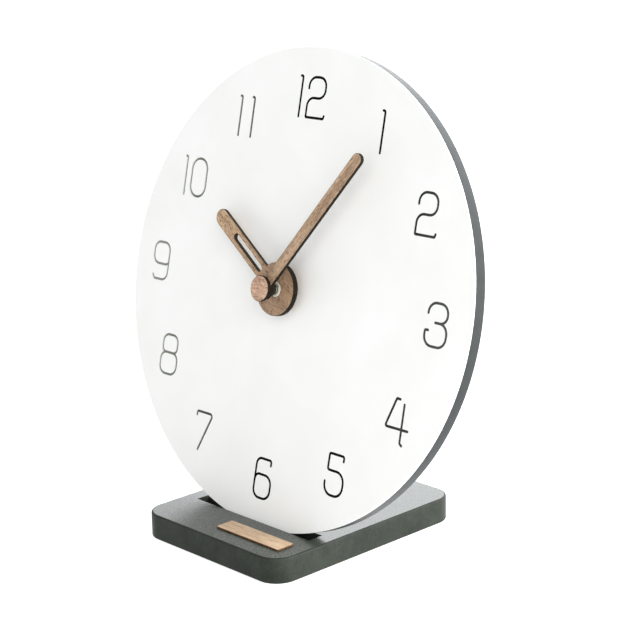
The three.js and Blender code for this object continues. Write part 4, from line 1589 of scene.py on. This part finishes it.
@dataclass
class Clamp:
    """What clamps the movement to the board: bush, nut, washer and gasket."""

    shop: Workshop
    board_hole: float = 4.4
    nut_flats: float = 10.0
    nut_bore: float = 4.12
    nut_back: float = 1.1
    nut_front: float = 3.3
    nut_ease: float = 0.3
    washer_radius: float = 5.6
    washer_back: float = 0.25
    washer_front: float = 0.85
    washer_ease: float = 0.12
    bush_radius: float = 4.0
    bush_bore: float = 2.65
    bush_end: float = 4.0
    bush_ease: float = 0.2
    flange_radius: float = 6.0
    flange_back: float = -10.35
    flange_front: float = -9.55
    thread_pitch: float = 0.75
    thread_depth: float = 0.22
    thread_ridge: float = 0.21
    thread_from_flange: float = 0.4
    thread_from_end: float = 0.3
    pad_reach: float = 16.0
    pad_corner: float = 4.0
    pad_back: float = -7.55
    pad_front: float = -6.95
    pad_ease: float = 0.15

    def nut(self) -> None:
        """The six-sided nut with chamfered corners and its washer."""
        place = self.shop.stance.dial()
        brass = Palette.brass.build(place)
        hole = Outline.disc(self.nut_bore, 40)
        outline = Outline.polygon(6, self.nut_flats)
        draft = Draft().slab(outline, self.nut_back, self.nut_front, self.nut_ease, (hole,))
        thing = draft.mesh("brass_nut", place, brass)
        self.shop.mount(thing, Body.STAND, Slot.BRASS, "shaft_nut")
        hole = Outline.disc(self.board_hole, 48)
        outline = Outline.disc(self.washer_radius, 64)
        low, high = self.washer_back, self.washer_front
        draft = Draft().slab(outline, low, high, self.washer_ease, (hole,), 2)
        thing = draft.mesh("brass_washer", place, brass)
        self.shop.mount(thing, Body.STAND, Slot.BRASS, "shaft_washer")

    def bush(self) -> None:
        """The bush with a rolled thread, from inside the case to the front of the nut."""
        place = self.shop.stance.dial()
        brass = Palette.brass.build(place)
        core, inner, end = self.bush_radius - self.thread_depth, self.bush_bore, self.bush_end
        flange, back, front = self.flange_radius, self.flange_back, self.flange_front
        profile = [(inner, back), (flange, back), (flange, front), (core, front)]
        profile += [(core, end - self.bush_ease), (core - self.bush_ease, end), (inner, end)]
        thing = Draft().lathe([*profile, profile[0]], 48).mesh("threaded_sleeve", place, brass)
        sizes = {"Turns": 16.0, "Radius": 4.0, "Length": 12.0, "Ridge": 0.2}
        tree = GeometryTree("thread", sizes)
        line = {
            "Resolution": 32,
            "Rotations": tree.size("Turns"),
            "Start Radius": tree.size("Radius"),
            "End Radius": tree.size("Radius"),
            "Height": tree.size("Length"),
        }
        spiral = tree.node("GeometryNodeCurveSpiral", line).outputs[0]
        square = {"Resolution": 4, "Radius": tree.size("Ridge")}
        ridge = tree.node("GeometryNodeCurvePrimitiveCircle", square).outputs[0]
        tree.end(tree.sweep(spiral, ridge), brass)
        start = front + self.thread_from_flange
        length = end - self.thread_from_end - start
        sizes = {
            "Turns": length / self.thread_pitch,
            "Radius": core,
            "Length": length,
            "Ridge": self.thread_ridge,
        }
        thread = tree.grow(Draft().mesh("thread", Matrix.Identity(4), brass), sizes)
        thread.data.transform(place @ Matrix.Translation((0.0, 0.0, start)))
        Carver.merge(thing, [thread])
        self.shop.mount(thing, Body.STAND, Slot.BRASS, "threaded_bush")

    def gasket(self) -> None:
        """The rubber pad between case and board."""
        place = self.shop.stance.dial()
        reach = self.pad_reach
        outline = Outline.rectangle(-reach, -reach, reach, reach, self.pad_corner)
        hole = Outline.disc(self.board_hole, 48)
        draft = Draft().slab(outline, self.pad_back, self.pad_front, self.pad_ease, (hole,), 2)
        thing = draft.mesh("rubber_pad", place, Palette.rubber.build(place))
        self.shop.mount(thing, Body.STAND, Slot.RUBBER, "rubber_gasket")

    def build(self) -> None:
        """Builds the whole clamp."""
        self.nut()
        self.bush()
        self.gasket()


@dataclass(frozen=True)
class RibRow:
    """A row of equal ribs: the first one and the step from each to the next."""

    name: str
    half_width: float
    low: float
    high: float
    corner: float
    back: float
    front: float
    ease: float
    steps: int
    count: int
    pitch: Point

    def build(self, place: Matrix, skin: Skin) -> Thing:
        """Makes the first rib and repeats it.

        Args:
            place: the placement of the first rib.
            skin: the finish of the ribs.

        Returns:
            The ribs as one object.
        """
        tree = GeometryTree(self.name, {"Count": 6, "Step X": 0.0, "Step Y": 0.0})
        step = tree.node("ShaderNodeCombineXYZ", {0: tree.size("Step X"), 1: tree.size("Step Y")})
        inputs = {"Count": tree.size("Count"), "Offset": step.outputs[0]}
        line = tree.node("GeometryNodeMeshLine", inputs).outputs[0]
        tree.end(tree.scatter(line, tree.start.outputs["Geometry"]), skin)
        half = self.half_width
        outline = Outline.rectangle(-half, self.low, half, self.high, self.corner)
        draft = Draft().slab(outline, self.back, self.front, self.ease, steps=self.steps)
        seed = draft.mesh(self.name, Matrix.Identity(4), skin)
        across, up = self.pitch
        ribs = tree.grow(seed, {"Count": self.count, "Step X": across, "Step Y": up})
        ribs.data.transform(place)
        return ribs


@dataclass
class Housing:
    """The movement's case with its cover, knob, cell and contacts."""

    shop: Workshop
    half: float = 28.0
    wall: float = 1.5
    depth: float = 15.0
    corner: float = 3.0
    ease: float = 0.4
    bush_hole: float = 4.15
    overrun: float = 5.0
    bay_top: float = -10.5
    bay_corner: float = 0.6
    room_bottom: float = -9.3
    notch_radius: float = 9.0
    saddle_from_centre: float = 13.0
    saddle_half: float = 0.6
    saddle_in_wall: float = 0.7
    saddle_in_partition: float = 0.6
    saddle_back: float = -7.5
    saddle_front: float = -0.8
    saddle_play: float = 0.25
    saddle_reach: float = 20.0
    grip_left: float = -9.6
    grip: RibRow = RibRow("floor_ribs", 0.4, -6.0, 6.0, 0.35, -1.68, -1.4, 0.1, 2, 9, (2.4, 0.0))
    cell_rise: float = -18.5
    cell_depth: float = 8.85
    cell_radius: float = 7.1
    cell_left: float = -24.3
    cell_right: float = 25.7
    cell_nub: float = 1.1
    # Radius of each point of the cell, and its height over the foot, the shoulder or the tip
    cell_foot: tuple[Point, ...] = (
        (0, 0), (5.6, 0), (5.8, 0.15), (6.2, 0.15), (6.4, 0.3), (6.4, 0.9),
    )
    wrap_foot: tuple[Point, ...] = ((6.4, 0.9), (6.4, 0.35), (6.9, 0.35), (7.1, 0.6))
    wrap_top: tuple[Point, ...] = ((7.1, -0.5), (6.9, -0.2), (6.3, -0.2), (6.3, -0.6))
    cell_shoulder: tuple[Point, ...] = (
        (6.3, -0.6), (6.3, -0.35), (3.4, -0.35), (3.1, -0.1), (2.7, 0),
    )
    cell_tip: tuple[Point, ...] = ((2.7, -0.25), (2.45, 0), (0, 0))
    cover_play: float = 0.25
    cover_front: float = -13.2
    cover_back: float = -14.7
    cover_ease: float = 0.2
    vent_low: float = -7.8
    vents: RibRow = RibRow("vents", 8.0, 0.0, 1.0, 0.45, -15.2, -14.5, 0.2, 3, 6, (0.0, 2.6))
    collar: tuple[Point, ...] = (
        (6.25, -15.3), (7.1, -15.3), (7.25, -15.15), (7.25, -14.5), (6.25, -14.5), (6.25, -15.3),
    )
    knob_hole: float = 1.62
    knob_x: float = -4.924
    knob_y: float = 18.475
    knob_radius: float = 6.0
    # How far inside the knob's radius each point of its rim lies, and its height
    knob_rim: tuple[Point, ...] = (
        (1.4, -17.55), (1.1, -17.4), (0.35, -17.4), (0, -17.1), (0, -15.15), (0.2, -14.95),
    )
    knob_stem: tuple[Point, ...] = (
        (1.5, -14.95), (1.5, -5.0), (2.2, -5.0), (2.2, -4.2), (0.5, -4.2), (0.5, -0.95), (0, -0.95),
    )
    knurl_height: float = 0.35
    knurl_back: float = -17.15
    knurl_front: float = -15.15
    knurl_ease: float = 0.1
    knurls: int = 24
    knurl: tuple[Corner, ...] = (
        (-0.3, -0.45, 0), (0.34, -0.16, 0.1), (0.34, 0.16, 0.1), (-0.3, 0.45, 0),
    )
    strip_thickness: float = 0.4
    strip_half: float = 3.0
    strip_ease: float = 0.08
    plus: tuple[Point, ...] = ((26.15, -5.0), (26.15, 5.0))
    minus: tuple[Point, ...] = (
        (-26.15, -7.0), (-26.15, -5.2), (-24.75, -1.2), (-24.75, 1.2), (-26.15, 5.0),
    )

    def _bay(self) -> Matrix:
        """The frame of the cell's bay: the frame of the movement, moved to the cell's axis."""
        middle = Matrix.Translation((0.0, self.cell_rise, -self.cell_depth))
        return self.shop.stance.movement() @ middle

    def _lying(self) -> Matrix:
        """The frame of the cell: its axis along +X of the movement."""
        return self._bay() @ Matrix.Rotation(QUARTER, 4, "Y")

    def case(self) -> None:
        """The open box with its saddles, the ribs in its bay and a notch for a finger."""
        place = self.shop.stance.movement()
        skin = Palette.case.build(place)
        reach, room = self.half, self.half - self.wall
        outline = Outline.rectangle(-reach, -reach, reach, reach, self.corner)
        hole = Outline.disc(self.bush_hole, 32)
        draft = Draft().slab(outline, -self.depth, 0.0, self.ease, (hole,))
        thing = draft.mesh("case", place, skin)
        upper = Outline.rectangle(-room, self.room_bottom, room, room, self.corner - self.wall)
        lower = Outline.rectangle(-room, -room, room, self.bay_top, self.bay_corner)
        low = -self.depth - self.overrun
        tools = [
            Draft().slab(pocket, low, -self.wall).mesh("pocket", place, skin)
            for pocket in (upper, lower)
        ]
        notch = Draft().drum(self.notch_radius, self.overrun, 48)
        notch.tilt(Matrix.Rotation(QUARTER, 4, "X"))
        notch.tilt(Matrix.Translation((0.0, -reach, -self.depth)))
        Carver.boolean(thing, [*tools, notch.mesh("notch", place, skin)])
        self._saddles(thing, place, skin)
        left = Matrix.Translation((self.grip_left, self.cell_rise, 0.0))
        Carver.merge(thing, [self.grip.build(place @ left, skin)])
        Carver.level(thing, place)
        self.shop.mount(thing, Body.STAND, Slot.CASE, "movement_case")

    def _saddles(self, thing: Thing, place: Matrix, skin: Skin) -> None:
        """Joins the two ribs that cradle the cell to the case.

        Args:
            thing: the case.
            place: its placement.
            skin: its finish.
        """
        low = self.wall - self.half - self.saddle_in_wall
        high = self.bay_top + self.saddle_in_partition
        radius = self.cell_radius + self.saddle_play
        for side in (-1, 1):
            middle = side * self.saddle_from_centre
            left, right = middle - self.saddle_half, middle + self.saddle_half
            draft = Draft().slab(
                Outline.rectangle(left, low, right, high), self.saddle_back, self.saddle_front
            )
            saddle = draft.mesh("saddle", place, skin)
            hollow = Draft().drum(radius, self.saddle_reach, 64)
            Carver.boolean(saddle, [hollow.mesh("hollow", self._lying(), skin)])
            Carver.boolean(thing, [saddle], "UNION")

    def cover(self) -> None:
        """The cover with its ribs and the collar round the knob."""
        place = self.shop.stance.movement()
        skin = Palette.cover.build(place)
        reach = self.half - self.wall - self.cover_play
        low, corner = self.room_bottom + self.cover_play, self.corner - self.wall
        outline = Outline.rectangle(-reach, low, reach, reach, corner)
        hole = Outline.disc(self.knob_hole, 32, (self.knob_x, self.knob_y))
        back, front = self.cover_back, self.cover_front
        draft = Draft().slab(outline, back, front, self.cover_ease, (hole,), 2)
        thing = draft.mesh("cover", place, skin)
        at = Matrix.Translation((self.knob_x, self.knob_y, 0.0))
        ring = Draft().lathe(list(self.collar), 72).tilt(at).mesh("collar", place, skin)
        vents = self.vents.build(place @ Matrix.Translation((0.0, self.vent_low, 0.0)), skin)
        Carver.merge(thing, [ring, vents])
        self.shop.mount(thing, Body.STAND, Slot.CASE, "movement_cover")

    def knob(self) -> None:
        """The setting knob with its knurled rim."""
        place = self.shop.stance.movement() @ Matrix.Translation((self.knob_x, self.knob_y, 0.0))
        skin = Palette.knob.build(place)
        radius = self.knob_radius - self.knurl_height
        rim = [(radius - inset, height) for inset, height in self.knob_rim]
        profile = [(0, rim[0][1]), *rim, *self.knob_stem]
        thing = Draft().lathe(profile, 72).mesh("knurled_knob", place, skin)
        tree = GeometryTree("knurl", {"Count": 24, "Radius": 5.6})
        inputs = {"Vertices": tree.size("Count"), "Radius": tree.size("Radius")}
        ring = tree.node("GeometryNodeMeshCircle", inputs).outputs[0]
        spot = {"Vector": tree.node("GeometryNodeInputPosition").outputs[0]}
        turn = tree.node("FunctionNodeAlignRotationToVector", spot, axis="X").outputs[0]
        tree.end(tree.scatter(ring, tree.start.outputs["Geometry"], Rotation=turn), skin)
        outline = Outline.rounded(list(self.knurl), True)
        back, front = self.knurl_back, self.knurl_front
        draft = Draft().slab(outline, back, front, self.knurl_ease, steps=1)
        seed = draft.mesh("knurl", Matrix.Identity(4), skin)
        knurls = tree.grow(seed, {"Count": self.knurls, "Radius": radius})
        knurls.data.transform(place)
        Carver.merge(thing, [knurls])
        self.shop.mount(thing, Body.KNOB, Slot.CASE, "set_knob")

    @staticmethod
    def _raised(profile: tuple[Point, ...], rise: float) -> list[Point]:
        """A profile, moved along the axis."""
        return [(radius, rise + height) for radius, height in profile]

    def cell(self) -> None:
        """The cell: a plain wrap between plated ends."""
        place = self._lying()
        left, right = self.cell_left, self.cell_right
        shoulder = right - self.cell_nub
        foot = self._raised(self.cell_foot, left)
        wrap = self._raised(self.wrap_foot, left) + self._raised(self.wrap_top, shoulder)
        top = self._raised(self.cell_shoulder, shoulder) + self._raised(self.cell_tip, right)
        draft = Draft().lathe(foot, 72).lathe(wrap, 72, Side.EDGE).lathe(top, 72)
        skins = Palette.steel.build(place), Palette.wrap.build(place)
        thing = draft.mesh("plain_cell", place, *skins)
        self.shop.mount(thing, Body.CELL, Slot.CELL, "battery_cell")

    def contacts(self) -> None:
        """The two sprung strips at the ends of the bay."""
        steel = Palette.steel.build(self.shop.stance.movement())
        half = self.strip_half
        for name, node, path in (
            ("plus_strip", "positive_contact", self.plus),
            ("minus_strip", "negative_contact", self.minus),
        ):
            outline = self._strip(path, self.strip_thickness)
            draft = Draft().slab(outline, -half, half, self.strip_ease, steps=2)
            thing = draft.mesh(name, self._bay(), steel)
            self.shop.mount(thing, Body.STAND, Slot.CONTACT, node)

    @staticmethod
    def _strip(path: tuple[Point, ...], thickness: float) -> list[Point]:
        """The outline of a thin strip along a path.

        Args:
            path: the points of its middle line.
            thickness: how thick it is.

        Returns:
            The points, counter-clockwise.
        """
        right: list[Point] = []
        left: list[Point] = []
        for index, point in enumerate(path):
            before, after = path[max(index - 1, 0)], path[min(index + 1, len(path) - 1)]
            along = (Vector(after) - Vector(before)).normalized()
            across = Vector((-along.y, along.x)) * thickness / 2
            left.append((point[0] + across.x, point[1] + across.y))
            right.append((point[0] - across.x, point[1] - across.y))
        return right + left[::-1]

    def build(self) -> None:
        """Builds everything that shows behind the board."""
        self.case()
        self.cover()
        self.knob()
        self.cell()
        self.contacts()


@dataclass
class Works:
    """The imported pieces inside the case, which only take a finish."""

    shop: Workshop
    nodes: dict[str, Thing]

    def build(self) -> None:
        """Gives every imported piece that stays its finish."""
        place = self.shop.stance.movement()
        groups = {
            Palette.wheel: (
                "hour_wheel", "reduction_wheel", "centre_wheel", "third_wheel",
                "seconds_wheel", "intermediate_wheel", "rotor_pinion",
            ),
            Palette.plate: ("mid_plate", "coil_bobbin"),
            Palette.brass: ("minute_arbor",),
            Palette.magnet: ("rotor_magnet",),
            Palette.iron: ("stator_plate", "coil_core", "crystal_can"),
            Palette.copper: ("coil_winding",),
            Palette.laminate: ("circuit_board",),
            Palette.resin: ("control_chip",),
        }
        for finish, names in groups.items():
            material = finish.build(place)
            for name in names:
                for slot in self.nodes[name].material_slots:
                    slot.material = material
                LOG.info("%s: %s", name, material.name)


# Studio


@dataclass(frozen=True)
class Lamp:
    """A soft rectangular lamp that the camera doesn't see, in metres and watts."""

    name: str
    at: Corner
    size: Point
    power: float
    colour: Corner = (1.0, 1.0, 1.0)

    def build(self, aim: Vector) -> None:
        """Hangs the lamp up.

        Args:
            aim: the point that it faces.
        """
        data = bpy.data.lights.new(self.name, "AREA")
        data.shape = "RECTANGLE"
        data.size, data.size_y = self.size
        data.energy = self.power
        data.color = self.colour
        thing = show(self.name, data)
        thing.location = self.at
        thing.rotation_euler = (aim - Vector(self.at)).to_track_quat("-Z", "Y").to_euler()
        thing.visible_camera = False


@dataclass
class Studio:
    """Floor, light and camera, in metres and degrees."""

    camera_at: Corner = (0.52114, -0.4850, 0.28183)
    azimuth: float = 46.4017
    elevation: float = 14.922
    roll: float = -1.2369
    lens: float = 99.476
    sensor: float = 36.0
    sky: Rgba = (0.97, 0.985, 1.0, 1.0)
    sky_strength: float = 0.46
    white: Rgba = (1.0, 1.0, 1.0, 1.0)
    floor_reach: float = 6.0
    floor_colour: Rgba = (0.76, 0.76, 0.76, 1.0)
    floor_glow: float = 0.68
    aim: Corner = (0.0, 0.0, 0.09)
    lamps: tuple[Lamp, ...] = (
        Lamp("key", (1.79, -1.61, 1.05), (2.6, 1.8), 43.4),
        Lamp("side", (2.3, 1.15, 0.85), (1.2, 1.4), 116.0),
        Lamp("backdrop", (-0.4, 1.84, 1.3), (3.8, 2.6), 79.0, (0.94, 0.965, 1.0)),
    )

    def camera(self) -> None:
        """The camera, at the viewing angle of the photograph."""
        data = bpy.data.cameras.new("camera")
        data.lens = self.lens
        data.sensor_width = self.sensor
        az, el, roll = (math.radians(turn) for turn in (self.azimuth, self.elevation, self.roll))
        back = Vector((math.sin(az) * math.cos(el), -math.cos(az) * math.cos(el), math.sin(el)))
        level = Vector((math.cos(az), math.sin(az), 0.0))
        rise = back.cross(level)
        right = level * math.cos(roll) + rise * math.sin(roll)
        up = rise * math.cos(roll) - level * math.sin(roll)
        turn = Matrix((right, up, back)).transposed().to_4x4()
        thing = show("camera", data)
        thing.matrix_world = Matrix.Translation(self.camera_at) @ turn
        bpy.context.scene.camera = thing

    def world(self) -> None:
        """An even sky, white where the camera or a gloss looks at it."""
        world = bpy.data.worlds.new("sky")
        world.use_nodes = True
        tree = NodeTree(world.node_tree)
        light, end = (tree.tree.nodes[name] for name in ("Background", "World Output"))
        tree.feed(light.inputs["Color"], self.sky)
        tree.feed(light.inputs["Strength"], self.sky_strength)
        white = tree.node("ShaderNodeBackground", {"Color": self.white})
        inputs = {0: tree.seen(), 1: light.outputs[0], 2: white.outputs[0]}
        tree.feed(end.inputs["Surface"], tree.node("ShaderNodeMixShader", inputs).outputs[0])
        bpy.context.scene.world = world

    def floor(self) -> None:
        """A wide pale floor that keeps the shadow of the clock."""
        tree = ShaderTree("pale_floor", 0.9)
        tree.set("Base Color", self.floor_colour)
        tree.set("Specular IOR Level", 0.1)
        strength = tree.math("MULTIPLY", tree.seen(), self.floor_glow)
        glow = tree.node("ShaderNodeEmission", {"Color": self.white, "Strength": strength})
        both = tree.node("ShaderNodeAddShader", {0: tree.shader.outputs[0], 1: glow.outputs[0]})
        tree.feed(tree.tree.nodes["Material Output"].inputs["Surface"], both.outputs[0])
        reach = self.floor_reach
        corners = Outline.rectangle(-reach, -reach, reach, reach)
        data = bpy.data.meshes.new("floor")
        data.from_pydata([(x, y, 0.0) for x, y in corners], [], [(0, 1, 2, 3)])
        data.materials.append(tree.material)
        show("floor", data)

    def build(self) -> None:
        """Sets the studio up."""
        bpy.context.scene.view_settings.view_transform = "Standard"
        self.camera()
        self.world()
        self.floor()
        for lamp in self.lamps:
            lamp.build(Vector(self.aim))


def main() -> None:
    """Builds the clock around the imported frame."""
    logging.basicConfig(level=logging.INFO, format="%(name)s %(message)s")
    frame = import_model()
    shop = Workshop()
    Studio().build()
    for group in (Stand(shop), Dial(shop), Hands(shop), Clamp(shop), Housing(shop)):
        group.build()
    Works(shop, frame["nodes"]).build()
    LOG.info("%d pieces made", len(shop.made))


if __name__ == "__main__":
    main()
